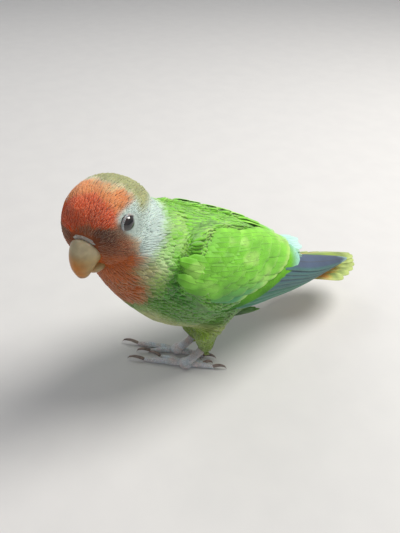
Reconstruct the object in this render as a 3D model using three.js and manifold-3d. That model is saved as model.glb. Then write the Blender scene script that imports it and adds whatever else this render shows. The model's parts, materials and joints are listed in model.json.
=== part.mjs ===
// A peach-faced lovebird at life size, standing with its head turned a little to its left.
// Millimetres. +X is the bird's left, -Y is forward, +Z is up, and the feet stand on z = 0.
import * as THREE from 'three';
import { mergeVertices } from 'three/addons/utils/BufferGeometryUtils.js';
import Module from 'manifold-3d';

const wasm = await Module();
wasm.setup();

// Driving sizes
const GAP = 0.3; // clear space between touching pieces
const BODY_MIDDLE = new THREE.Vector3(0, 8, 49.5); // middle of the trunk above the floor
const BODY_TILT = 23; // degrees that the trunk rises towards the breast
const HEAD_MIDDLE = new THREE.Vector3(-0.4, -36.5, 85.4);
const HEAD_YAW = 32; // degrees to the bird's left
const HEAD_PITCH = 0.5; // degrees up
const HEAD_ROLL = -5; // degrees, left side up
const EYE_RADIUS = 4.3;
const EYE_PLACE = [6.2, 10.1, 5.9]; // forward, to the side and up from the head's middle
const LID_RING = { middle: 3.3, thick: 0.65, sink: 1.3 };
const VANE_THICK = 0.55;
const FINEST = 0.05; // faces that lie closer than this to one plane are made one
const FOOT_TURN = { left: 41, right: 50 }; // degrees that each foot points to the bird's right
const FOOT_PLACE = { left: [2.3, -5.8], right: [-7.6, -3.9] }; // the pads on the floor
const HEEL = { rise: 12, back: 8.5 };
const ROUNDED_END = 8; // how square the ends of limbs, toes and claws are

const rad = THREE.MathUtils.degToRad;
const colours = {
  green: 0x6fbf35, face: 0xd9683c, pale: 0xc9d0bd, wing: 0x5fae3a, tail: 0x9fae3c,
  horn: 0xbfae7c, cere: 0xc9c4b8, skin: 0xb9b6ae, claw: 0x8d8780, eye: 0x14100e,
};

// Smooth reading of a table of stations. Each row is [place, value, value, ...], places rising.
function through(rows, at) {
  const last = rows.length - 2;
  let k = 0;
  while (k < last && at > rows[k + 1][0]) k++;
  const slope = (i, column) => {
    const a = Math.max(0, i - 1);
    const b = Math.min(rows.length - 1, i + 1);
    return (rows[b][column] - rows[a][column]) / (rows[b][0] - rows[a][0]);
  };
  const width = rows[k + 1][0] - rows[k][0];
  const t = THREE.MathUtils.clamp((at - rows[k][0]) / width, 0, 1);
  return rows[k].slice(1).map((value, i) => {
    const next = rows[k + 1][i + 1];
    const h00 = 2 * t ** 3 - 3 * t ** 2 + 1;
    const h10 = t ** 3 - 2 * t ** 2 + t;
    return h00 * value + (1 - h00) * next
      + width * (h10 * slope(k, i + 1) + (t ** 3 - t ** 2) * slope(k + 1, i + 1));
  });
}

// Closed geometry to a solid and back
function solidOf(geometry) {
  const bare = new THREE.BufferGeometry().setAttribute('position', geometry.getAttribute('position'));
  bare.setIndex(geometry.index);
  const merged = mergeVertices(bare, 1e-4);
  const corners = [];
  for (let i = 0; i < merged.index.count; i += 3) {
    const [a, b, c] = [0, 1, 2].map((n) => merged.index.getX(i + n));
    if (a !== b && b !== c && a !== c) corners.push(a, b, c);
  }
  return new wasm.Manifold(new wasm.Mesh({
    numProp: 3, vertProperties: merged.attributes.position.array, triVerts: new Uint32Array(corners),
  }));
}

function geometryOf(solid) {
  const mesh = solid.getMesh();
  const geometry = new THREE.BufferGeometry();
  geometry.setAttribute('position', new THREE.BufferAttribute(new Float32Array(mesh.vertProperties), 3));
  geometry.setIndex(new THREE.BufferAttribute(new Uint32Array(mesh.triVerts), 1));
  geometry.computeVertexNormals();
  return geometry;
}

const largest = (solid) => solid.simplify(FINEST).decompose().sort((a, b) => b.volume() - a.volume())[0];
const joined = (solids) => solids.reduce((sum, next) => sum.add(next));

// A sphere's grid bent by place(unit vector) into any rounded closed form
function rounded(around, along, place) {
  const ball = new THREE.SphereGeometry(1, around, along);
  const at = ball.attributes.position;
  const unit = new THREE.Vector3();
  for (let i = 0; i < at.count; i++) {
    const p = place(unit.fromBufferAttribute(at, i).normalize());
    at.setXYZ(i, p.x, p.y, p.z);
  }
  return facingOut(solidOf(ball));
}

function facingOut(solid) {
  if (solid.volume() >= 0) return solid;
  const mesh = solid.getMesh();
  const turned = Uint32Array.from(mesh.triVerts, (_, i) => mesh.triVerts[i - (i % 3) + 2 - (i % 3)]);
  return new wasm.Manifold(
    new wasm.Mesh({ numProp: 3, vertProperties: mesh.vertProperties, triVerts: turned }),
  );
}

// Everything on the side that normal points to
function halfSpace(point, normal) {
  const reach = 400;
  const box = new THREE.BoxGeometry(reach, reach, reach).translate(0, 0, reach / 2);
  const turn = new THREE.Quaternion();
  turn.setFromUnitVectors(new THREE.Vector3(0, 0, 1), normal.clone().normalize());
  box.applyQuaternion(turn).translate(point.x, point.y, point.z);
  return solidOf(box);
}

// Cuts a solid at a plane and leaves the gap between the two pieces
function parted(solid, point, normal) {
  const shift = normal.clone().normalize().multiplyScalar(GAP / 2);
  return [
    solid.intersect(halfSpace(point.clone().add(shift), normal)),
    solid.intersect(halfSpace(point.clone().sub(shift), normal.clone().negate())),
  ];
}

// The trunk's own frame: side, along (towards the breast) and high (towards the back)
const forwardUp = new THREE.Vector3(0, -Math.cos(rad(BODY_TILT)), Math.sin(rad(BODY_TILT)));
const backUp = new THREE.Vector3(0, Math.sin(rad(BODY_TILT)), Math.cos(rad(BODY_TILT)));
const bodyPoint = (side, along, high) => new THREE.Vector3(side, 0, 0)
  .addScaledVector(forwardUp, along).addScaledVector(backUp, high).add(BODY_MIDDLE);

// Trunk and neck: along, back, belly, half width
const TRUNK = [
  [-54, 10, -1, 8], [-46, 12, -1.5, 9.5], [-36, 15, -7, 13.5], [-22, 18.5, -15.5, 18.5], [-6, 21.5, -24.6, 22],
  [10, 23, -27.5, 23], [24, 24.5, -25, 22], [36, 26, -19.3, 19.8], [46, 28, -13.5, 17.6], [56, 30, -7, 15.6],
  [64, 30, 0, 14],
];
const TRUNK_ENDS = { rear: -54, front: 62, blunt: 8 };

function trunk(margin = 0) {
  const middle = (TRUNK_ENDS.front + TRUNK_ENDS.rear) / 2;
  const half = (TRUNK_ENDS.front - TRUNK_ENDS.rear) / 2;
  return rounded(32, 24, (unit) => {
    const along = middle + half * unit.y;
    const [back, belly, width] = through(TRUNK, along);
    const close = Math.sqrt(Math.max(0, 1 - Math.abs(unit.y) ** TRUNK_ENDS.blunt));
    const round = Math.hypot(unit.x, unit.z) || 1;
    const high = (back + belly) / 2 + ((back - belly) / 2 + margin) * close * (unit.z / round);
    return bodyPoint((width + margin) * close * (unit.x / round), along + margin * unit.y, high);
  });
}

// Head frame: forward, left and up from the head's middle
const headTurn = new THREE.Quaternion().setFromEuler(
  new THREE.Euler(rad(HEAD_ROLL), rad(-HEAD_PITCH), rad(HEAD_YAW - 90), 'ZYX'),
);
const headPoint = (forward, left, up) => new THREE.Vector3(forward, left, up)
  .applyQuaternion(headTurn).add(HEAD_MIDDLE);
const headDirection = (forward, left, up) => new THREE.Vector3(forward, left, up)
  .applyQuaternion(headTurn).normalize();

const HEAD_REACH = { front: 15.9, back: 18, side: 16, crown: 15.7, chin: 15.6 };
const HEAD_FULL = 2.2; // 2 is an ellipsoid, more is fuller at the brow and temples
const bump = (x, middle, width) => Math.exp(-(((x - middle) / width) ** 2));

function headForm(margin = 0) {
  return rounded(26, 18, (unit) => {
    const [f, l, u] = unit.toArray();
    const sum = [f, l, u].reduce((total, part) => total + Math.abs(part) ** HEAD_FULL, 0);
    const full = sum ** (-1 / HEAD_FULL);
    const cheek = 1 + 0.06 * bump(u, -0.45, 0.35) * bump(f, 0.1, 0.5);
    const brow = 1 + 0.035 * bump(u, 0.5, 0.25) * bump(f, 0.75, 0.3);
    const reach = HEAD_REACH;
    return headPoint(
      f * ((f > 0 ? reach.front : reach.back) * brow * full + margin),
      l * (reach.side * cheek * full + margin),
      u * ((u > 0 ? reach.crown : reach.chin) * full + margin),
    );
  });
}

// The bill is a bent horn. Rows: share of its length, forward, up, half width, half depth, lean in degrees
const BILL = [
  [0, 8.5, -4.2, 5.8, 7.2, 4], [0.3, 13.2, -4.8, 5.7, 6.2, 30], [0.55, 15.6, -7.4, 5.0, 4.9, 58],
  [0.8, 16.5, -10.9, 3.7, 3.4, 80], [1, 16.0, -14.8, 1.6, 1.4, 98],
];
const CERE_LINE = 0.3; // where along the bill the cere ends
const CERE_LOW = { forward: 9, up: -3.2 }; // the cere's lower edge
const NOSTRIL = { share: 0.2, side: 40, radius: 0.75, deep: 3, swell: 1.75 };

function billPoint(share, round, margin) {
  const [forward, up, width, depth, lean] = through(BILL, share);
  const side = Math.cos(round) * (width + margin);
  const ridge = Math.sin(round) > 0 ? 1 : 0.92;
  const top = Math.sin(round) * (depth * ridge + margin);
  return headPoint(forward + top * Math.sin(rad(lean)), side, up + top * Math.cos(rad(lean)));
}

const billHeart = (share) => billPoint(share, 0, 0).add(billPoint(share, Math.PI, 0)).multiplyScalar(0.5);

function billForm(margin = 0) {
  return rounded(18, 12, (unit) => {
    const share = 0.5 + 0.5 * unit.y;
    const close = Math.sqrt(Math.max(0, 1 - Math.abs(unit.y) ** 12));
    const round = Math.atan2(unit.z, unit.x);
    return billHeart(share).lerp(billPoint(share, round, margin), close);
  });
}

// The lower mandible is a short upturned scoop under the hook
const LOWER_BILL = [
  [0, 6, -11.8, 4.8, 3.2, -14], [0.5, 10.6, -12.6, 4.5, 3.0, 6], [1, 13.8, -11.8, 3.2, 1.6, 30],
];

function lowerBill(margin = 0) {
  return rounded(12, 8, (unit) => {
    const [forward, up, width, depth, lean] = through(LOWER_BILL, 0.5 + 0.5 * unit.y);
    const close = Math.sqrt(Math.max(0, 1 - Math.abs(unit.y) ** 6));
    const round = Math.atan2(unit.z, unit.x);
    const top = Math.sin(round) * (depth + margin) * close;
    return headPoint(
      forward - top * Math.sin(rad(lean)) + margin * unit.y,
      Math.cos(round) * (width + margin) * close,
      up + top * Math.cos(rad(lean)),
    );
  });
}

function ball(middle, radius, around = 16, along = 10) {
  const sphere = new THREE.SphereGeometry(radius, around, along).translate(middle.x, middle.y, middle.z);
  return solidOf(sphere);
}

const eyeMiddle = (side) => headPoint(EYE_PLACE[0], side * EYE_PLACE[1], EYE_PLACE[2]);
const eyeOut = (side) => headDirection(0.22, side, 0.07);

// A raised rim of bare skin round each eye
function lids(side) {
  const ring = new THREE.TorusGeometry(LID_RING.middle, LID_RING.thick, 6, 16);
  const out = eyeOut(side);
  ring.applyQuaternion(new THREE.Quaternion().setFromUnitVectors(new THREE.Vector3(0, 0, 1), out));
  const seat = eyeMiddle(side).addScaledVector(out, EYE_RADIUS - LID_RING.sink);
  return solidOf(ring.translate(seat.x, seat.y, seat.z));
}

// The mound round a nostril and the hole in it
function nostril(side, margin = 0) {
  const mouth = billPoint(NOSTRIL.share, Math.PI / 2 - side * rad(NOSTRIL.side), 0);
  const out = mouth.clone().sub(billHeart(NOSTRIL.share)).normalize();
  const drill = new THREE.CylinderGeometry(NOSTRIL.radius, NOSTRIL.radius, NOSTRIL.deep, 8);
  drill.applyQuaternion(new THREE.Quaternion().setFromUnitVectors(new THREE.Vector3(0, 1, 0), out));
  return {
    mound: ball(mouth.clone().addScaledVector(out, 1 - NOSTRIL.swell), NOSTRIL.swell + margin, 10, 6),
    hole: solidOf(drill.translate(mouth.x, mouth.y, mouth.z)),
  };
}

// A wing lies on its own rounded surface. Rows: along, centre height, half width, half height
const WING = [
  [-80, 8.4, 10.5, 5.0], [-60, 5.6, 15.3, 8.5], [-42, 2.9, 19.0, 13.0], [-22, 1.2, 22.2, 18.8],
  [-6, -0.4, 24.4, 23.2], [10, -0.6, 25.2, 25.2], [24, 1.0, 24.2, 25.0], [36, 4.0, 21.6, 23.4],
];

// round is in degrees: 0 at the flank and 90 on the spine. lift is along the surface's normal.
function wingPoint(side, along, round, lift) {
  const [centre, width, height] = through(WING, along);
  const c = Math.cos(rad(round));
  const s = Math.sin(rad(round));
  const normal = new THREE.Vector2(c / width, s / height).normalize();
  return bodyPoint(side * (width * c + lift * normal.x), along, centre + height * s + lift * normal.y);
}

// The feathered arm: a flattened form lying on that surface
const ARM = { middle: -3, half: 35, blunt: 3, out: 1.2, sunk: 4.2, clear: 4 };
const armEdges = (along) => through(
  [[-40, 30, 78], [-22, -2, 80], [-4, -20, 78], [14, -26, 74], [32, -16, 64]], along,
);

function wingArm(side, margin = 0) {
  return rounded(22, 12, (unit) => {
    const along = ARM.middle + (ARM.half + margin) * unit.x;
    const [low, top] = armEdges(along);
    const edge = Math.max(0, 1 - Math.abs(unit.x) ** ARM.blunt) ** (1 / ARM.blunt);
    const turn = Math.hypot(unit.y, unit.z) || 1;
    const round = (low + top) / 2 + ((top - low) / 2 + margin * 2.6) * edge * (unit.y / turn);
    const depth = unit.z > 0 ? ARM.out + (margin ? ARM.clear : 0) : ARM.sunk + margin;
    return wingPoint(side, along, round, depth * edge * (unit.z / turn));
  });
}

// A feather on the wing: from root to tip as [along, round], with half widths and a tilt like a shingle
function wingVane(side, root, tip, halfWidth, lift, tilt) {
  const steps = 3;
  const shape = [0.7, 1, 0.95, 0.2];
  return vane(steps, (t, across, face) => {
    const along = THREE.MathUtils.lerp(root[0], tip[0], t);
    const round = THREE.MathUtils.lerp(root[1], tip[1], t);
    const [, width, height] = through(WING, along);
    const reach = halfWidth * shape[Math.round(t * steps)];
    const degrees = (across * reach) / rad((width + height) / 2);
    return wingPoint(side, along, round + degrees, lift - across * tilt + face * VANE_THICK / 2);
  });
}

// A thin closed form of steps x 2 panels, split alike on both faces. point(t, across -1..1, face 1 or -1)
function vane(steps, point) {
  const rows = [];
  for (const face of [1, -1]) {
    for (let i = 0; i <= steps; i++) {
      for (const across of [-1, 0, 1]) rows.push(point(i / steps, across, face * (across === 0 ? 1.15 : 0.85)));
    }
  }
  const under = 3 * (steps + 1);
  const corner = (i, j, face) => face * under + i * 3 + j;
  const faces = [];
  const quad = (a, b, c, d) => faces.push(a, b, c, a, c, d);
  for (let i = 0; i < steps; i++) {
    for (let j = 0; j < 2; j++) {
      const [a, b, c, d] = [corner(i, j, 0), corner(i + 1, j, 0), corner(i + 1, j + 1, 0), corner(i, j + 1, 0)];
      faces.push(a, b, c, a, c, d);
      faces.push(a + under, c + under, b + under, a + under, d + under, c + under);
    }
    quad(corner(i, 0, 0), corner(i, 0, 1), corner(i + 1, 0, 1), corner(i + 1, 0, 0));
    quad(corner(i, 2, 0), corner(i + 1, 2, 0), corner(i + 1, 2, 1), corner(i, 2, 1));
  }
  for (const j of [0, 1]) {
    quad(corner(0, j, 0), corner(0, j + 1, 0), corner(0, j + 1, 1), corner(0, j, 1));
    quad(corner(steps, j, 0), corner(steps, j, 1), corner(steps, j + 1, 1), corner(steps, j + 1, 0));
  }
  const geometry = new THREE.BufferGeometry();
  geometry.setAttribute('position', new THREE.Float32BufferAttribute(rows.flatMap((p) => p.toArray()), 3));
  geometry.setIndex(faces);
  return facingOut(solidOf(geometry));
}

// Tiers from the body outwards: primaries, secondaries with tertials, greater coverts
const PRIMARIES = {
  count: 6, root: [6, -16], rise: 6.5, tips: [-60, -78], rounds: [-10, 52], half: 4.6, lift: -1.9, tilt: 0.9,
};
const SECONDARIES = {
  count: 6, root: [6, 0], rise: 10.5, tips: [-26, -50], rounds: [-8, 74], half: 5.2, lift: -0.6, tilt: 0.8,
};
const COVERTS = {
  count: 5, root: [8, -4], rise: 13.5, tips: [-14, -40], rounds: [-17, 68], half: 5.6, lift: 0.6, tilt: 0.6,
};

function tier(side, plan) {
  return Array.from({ length: plan.count }, (_, i) => {
    const share = i / (plan.count - 1);
    const tip = [
      THREE.MathUtils.lerp(plan.tips[0], plan.tips[1], share),
      THREE.MathUtils.lerp(plan.rounds[0], plan.rounds[1], share),
    ];
    return wingVane(side, [plan.root[0], plan.root[1] + plan.rise * i], tip, plan.half, plan.lift, plan.tilt);
  });
}

function wing(side) {
  return largest(joined([
    wingArm(side), ...tier(side, PRIMARIES), ...tier(side, SECONDARIES), ...tier(side, COVERTS),
  ]));
}

// What the trunk leaves free for a wing: the arm's own seat, and room behind it for the feathers
const REAR_SEAT = { middle: -30, half: 42, rounds: [-42, 90], deep: 4.4, above: 7 };

function wingSeat(side) {
  const behind = rounded(24, 16, (unit) => {
    const [low, top] = REAR_SEAT.rounds;
    const along = REAR_SEAT.middle + REAR_SEAT.half * unit.x;
    const turn = Math.hypot(unit.y, unit.z) || 1;
    const edge = Math.sqrt(Math.max(0, 1 - unit.x ** 8));
    const round = (low + top) / 2 + ((top - low) / 2) * edge * (unit.y / turn);
    return wingPoint(side, along, round, (unit.z > 0 ? REAR_SEAT.above : REAR_SEAT.deep) * edge * (unit.z / turn));
  });
  return wingArm(side, GAP).add(behind);
}

// Tail: flat vanes that fan a little, the middle pair on top, with coverts above and below
const TAIL = {
  count: 10, root: -44, tip: -92, high: 4.8, rise: 4.5, roots: 5, spread: 9.5, half: 3.6, step: 0.8,
  shorter: 0.4,
};

function tailVane(tip, rootSide, tipSide, high, tilt, droop = 0) {
  const steps = 3;
  const shape = [0.65, 1, 1.05, 0.25];
  return vane(steps, (t, across, face) => {
    const reach = TAIL.half * shape[Math.round(t * steps)];
    const side = THREE.MathUtils.lerp(rootSide, tipSide, t) + across * reach;
    const along = THREE.MathUtils.lerp(TAIL.root, tip, t);
    const rise = (TAIL.rise * (TAIL.root - along)) / (TAIL.root - TAIL.tip);
    return bodyPoint(side, along, high + rise + across * tilt - droop * t * t + face * VANE_THICK / 2);
  });
}

function tailFeathers() {
  const feathers = [];
  for (let i = 0; i < TAIL.count; i++) {
    const place = i - (TAIL.count - 1) / 2;
    const rank = Math.abs(place) - 0.5;
    const out = place / ((TAIL.count - 1) / 2);
    feathers.push(tailVane(
      TAIL.tip + TAIL.shorter * rank * rank, out * TAIL.roots, out * TAIL.spread,
      TAIL.high - TAIL.step * rank, -Math.sign(out) * 0.25,
    ));
  }
  const above = [[-64, 0, 1.9], [-60, 4.6, 1.5], [-60, -4.6, 1.5]];
  const below = [[-72, 0, -4.8], [-66, 5, -4.4], [-66, -5, -4.4]];
  for (const [tip, side, high] of [...above, ...below]) {
    feathers.push(tailVane(tip, side * 0.6, side, TAIL.high + high, 0, Math.sign(high)));
  }
  return feathers;
}

function tailBase() {
  return rounded(14, 10, ({ x, y, z }) => bodyPoint(8 * x, TAIL.root + 14 * y, TAIL.high - 0.4 + 5.4 * z));
}

// Legs. Each thigh is a feathered cone from the flank down to the heel.
const PAD_HEIGHT = 2.2; // the sole's middle above the floor

function legPoints(side) {
  const [x, y] = side > 0 ? FOOT_PLACE.left : FOOT_PLACE.right;
  return {
    pad: new THREE.Vector3(x, y, PAD_HEIGHT),
    heel: new THREE.Vector3(x, y, HEEL.rise).addScaledVector(toeDirection(side, 0), -HEEL.back),
    hip: new THREE.Vector3(side * 11.5, 3, 40),
  };
}

// A limb of round section through points with a radius at each
function limb(points, radii, around, along, flatten = 1) {
  const curve = new THREE.CatmullRomCurve3(points);
  const rows = radii.map((r, i) => [i / (radii.length - 1), r]);
  const middle = new THREE.Vector3();
  return rounded(around, along, (unit) => {
    const share = 0.5 + 0.5 * unit.y;
    curve.getPoint(share, middle);
    const tangent = curve.getTangent(share);
    const sideways = new THREE.Vector3().crossVectors(tangent, new THREE.Vector3(0, 0.35, 1)).normalize();
    const upward = new THREE.Vector3().crossVectors(sideways, tangent).normalize();
    const [radius] = through(rows, share);
    const close = Math.sqrt(Math.max(0, 1 - Math.abs(unit.y) ** ROUNDED_END));
    const round = Math.hypot(unit.x, unit.z) || 1;
    return middle.clone()
      .addScaledVector(sideways, (unit.x / round) * radius * close)
      .addScaledVector(upward, (unit.z / round) * radius * flatten * close);
  });
}

function thighForm(side) {
  const { hip, heel } = legPoints(side);
  const knee = hip.clone().lerp(heel, 0.5).add(new THREE.Vector3(side * 0.6, -2.5, 1));
  const cuff = heel.clone().add(new THREE.Vector3(0, 0.6, -1.2));
  return limb([hip, knee, cuff], [10, 7, 3.4], 16, 10);
}

// Toes: heading in degrees to the bird's left of the foot's own forward, length, thickness and claw length
const TOES = [
  { name: 'outer_front', heading: -2, length: 20, thick: 1.5, claw: 8 },
  { name: 'inner_front', heading: -17, length: 13.5, thick: 1.35, claw: 6.5 },
  { name: 'outer_rear', heading: 180, length: 13, thick: 1.4, claw: 6.2 },
  { name: 'inner_rear', heading: -168, length: 8.5, thick: 1.3, claw: 4.6 },
];

function toeDirection(side, heading) {
  const turn = rad(side * heading - (side > 0 ? FOOT_TURN.left : FOOT_TURN.right));
  return new THREE.Vector3(Math.sin(turn), -Math.cos(turn), 0);
}

function toe(side, plan) {
  const { pad } = legPoints(side);
  const ahead = toeDirection(side, plan.heading);
  const knuckles = 3;
  const points = [0, 0.34, 0.67, 1].map((share) => pad.clone()
    .addScaledVector(ahead, share * plan.length)
    .setZ(plan.thick * (1.05 - 0.22 * share) + 0.5 * Math.sin(Math.PI * share)));
  const curve = new THREE.CatmullRomCurve3(points);
  const sideways = new THREE.Vector3(-ahead.y, ahead.x, 0);
  return rounded(7, 10, (unit) => {
    const share = 0.5 + 0.5 * unit.y;
    const middle = curve.getPoint(share);
    const swell = 1 + 0.1 * Math.cos(2 * Math.PI * knuckles * share);
    const close = Math.sqrt(Math.max(0, 1 - Math.abs(unit.y) ** ROUNDED_END));
    const radius = plan.thick * (1 - 0.28 * share) * swell * close;
    const round = Math.hypot(unit.x, unit.z) || 1;
    middle.z += (unit.z / round) * radius;
    return middle.addScaledVector(sideways, (unit.x / round) * radius);
  });
}

function claw(side, plan) {
  const { pad } = legPoints(side);
  const ahead = toeDirection(side, plan.heading);
  const root = pad.clone().addScaledVector(ahead, plan.length - 0.6).setZ(plan.thick * 0.85);
  const rows = [[0, 0, 0, 0.95], [0.45, 0.5, 1.15, 0.75], [0.8, 0.86, 0.7, 0.45], [1, 1, -0.75, 0.14]];
  const sideways = new THREE.Vector3(-ahead.y, ahead.x, 0);
  return rounded(6, 7, (unit) => {
    const share = 0.5 + 0.5 * unit.y;
    const [reach, rise, radius] = through(rows, share);
    const close = Math.sqrt(Math.max(0, 1 - Math.abs(unit.y) ** ROUNDED_END));
    const round = Math.hypot(unit.x, unit.z) || 1;
    return root.clone().addScaledVector(ahead, reach * plan.claw)
      .addScaledVector(sideways, (unit.x / round) * radius * close * 0.8)
      .add(new THREE.Vector3(0, 0, rise + (unit.z / round) * radius * close));
  });
}

// Shank, pad and toes as one piece, cut flat where it stands
const UP = new THREE.Vector3(0, 0, 1);
const SOLE = new THREE.Vector3(3.2, 3.2, PAD_HEIGHT);
const SOLE_CUT = 0.35;

function footForm(side) {
  const { pad, heel } = legPoints(side);
  const shank = limb([
    heel.clone().add(new THREE.Vector3(0, 0.4, 1.6)), heel.clone().lerp(pad, 0.45), pad.clone(),
  ], [2.0, 1.65, 2.1], 10, 8);
  const sole = rounded(12, 8, (unit) => unit.clone().multiply(SOLE).add(pad));
  const whole = joined([shank, sole, ...TOES.map((plan) => toe(side, plan))]);
  return whole.intersect(halfSpace(new THREE.Vector3(0, 0, SOLE_CUT), UP)).translate(0, 0, -SOLE_CUT);
}

// Whole forms first, then thin cuts between the named pieces
const pieces = new Map();
const sides = { left: 1, right: -1 };

for (const [word, side] of Object.entries(sides)) {
  const { heel, pad } = legPoints(side);
  const fall = pad.clone().sub(heel).normalize();
  const ankle = heel.clone().addScaledVector(fall, 0.2);
  const [lowerShank] = parted(footForm(side), ankle, fall);
  pieces.set(`foot_${word}`, [largest(lowerShank), colours.skin]);
  for (const plan of TOES) {
    const ahead = toeDirection(side, plan.heading);
    const join = pad.clone().addScaledVector(ahead, plan.length - 0.2).setZ(0);
    const foot = pieces.get(`foot_${word}`);
    const tip = halfSpace(join.clone().addScaledVector(ahead, -GAP), ahead);
    const near = ball(join.clone().setZ(1.2), 3, 12, 8);
    foot[0] = largest(foot[0].subtract(tip.intersect(near)));
    const horn = claw(side, plan).intersect(halfSpace(join, ahead))
      .intersect(halfSpace(new THREE.Vector3(0, 0, 0.02), UP));
    pieces.set(`claw_${word}_${plan.name}`, [largest(horn), colours.claw]);
  }
  pieces.set(`wing_${word}`, [wing(side), colours.wing]);
}

let body = trunk();
for (const [word, side] of Object.entries(sides)) {
  const { heel, pad } = legPoints(side);
  const fall = pad.clone().sub(heel).normalize();
  const cuffEnd = heel.clone().addScaledVector(fall, 0.2 - GAP / 2);
  const thigh = thighForm(side).subtract(trunk(GAP)).intersect(halfSpace(cuffEnd, fall.clone().negate()));
  pieces.set(`thigh_${word}`, [largest(thigh), colours.green]);
  body = body.subtract(wingSeat(side));
}
const neckBase = bodyPoint(0, 33, 0);
const [front, rear] = parted(body, neckBase, bodyPoint(0, 34, 0.42).sub(neckBase));

// The bill, parted at the cere's slanting front edge and along its lower edge
const bill = billForm();
const [lineForward, lineUp] = through(BILL, CERE_LINE);
const cereFront = headPoint(lineForward, 0, lineUp);
const cereAhead = headDirection(1, 0, -0.32);
const behindFront = halfSpace(
  cereFront.clone().addScaledVector(cereAhead, -GAP / 2), cereAhead.clone().negate(),
);
const aboveEdge = (drop) => halfSpace(
  headPoint(CERE_LOW.forward, 0, CERE_LOW.up - drop), headDirection(0.15, 0, 1),
);
const [beakFront, beakRoot] = parted(bill, cereFront, cereAhead);
const beak = joined([beakFront, beakRoot.subtract(aboveEdge(GAP))]);
let cere = beakRoot.intersect(aboveEdge(0));

let head = headForm();
for (const [word, side] of Object.entries(sides)) {
  const { mound, hole } = nostril(side);
  cere = cere.add(mound.intersect(behindFront)).subtract(hole);
  head = head.add(lids(side)).subtract(ball(eyeMiddle(side), EYE_RADIUS + GAP, 16, 10));
  head = head.subtract(nostril(side, GAP).mound);
  pieces.set(`eye_${word}`, [ball(eyeMiddle(side), EYE_RADIUS), colours.eye]);
}
head = head.subtract(billForm(GAP)).subtract(lowerBill(GAP));
const neck = front.subtract(headForm(GAP)).subtract(billForm(GAP)).subtract(lowerBill(GAP));
pieces.set('beak_upper', [largest(beak), colours.horn]);
pieces.set('cere', [largest(cere), colours.cere]);
pieces.set('beak_lower', [largest(lowerBill().subtract(billForm(GAP))), colours.horn]);
pieces.set('head', [largest(head), colours.face]);
pieces.set('neck', [largest(neck), colours.pale]);

const tailRoot = bodyPoint(0, -43, 5);
const [torso] = parted(rear, tailRoot, forwardUp);
const tailWhole = joined([tailBase(), ...tailFeathers()]);
const [, tail] = parted(tailWhole, tailRoot, forwardUp);
pieces.set('torso', [largest(torso), colours.green]);
pieces.set('tail', [largest(tail), colours.tail]);

const lovebird = new THREE.Group();
for (const [name, [solid, colour]] of pieces) {
  const shiny = name.startsWith('eye');
  const horny = /beak|cere|claw/.test(name);
  const material = new THREE.MeshStandardMaterial({
    color: colour, roughness: shiny ? 0.08 : horny ? 0.4 : 0.85, metalness: 0,
  });
  const mesh = new THREE.Mesh(geometryOf(solid), material);
  mesh.name = name;
  lovebird.add(mesh);
}

// The origin is on the floor, under the middle of the bird's length and width
const bounds = new THREE.Box3().setFromObject(lovebird);
const middle = bounds.getCenter(new THREE.Vector3());
lovebird.position.set(-middle.x, -middle.y, -bounds.min.z);

export default lovebird;
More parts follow.
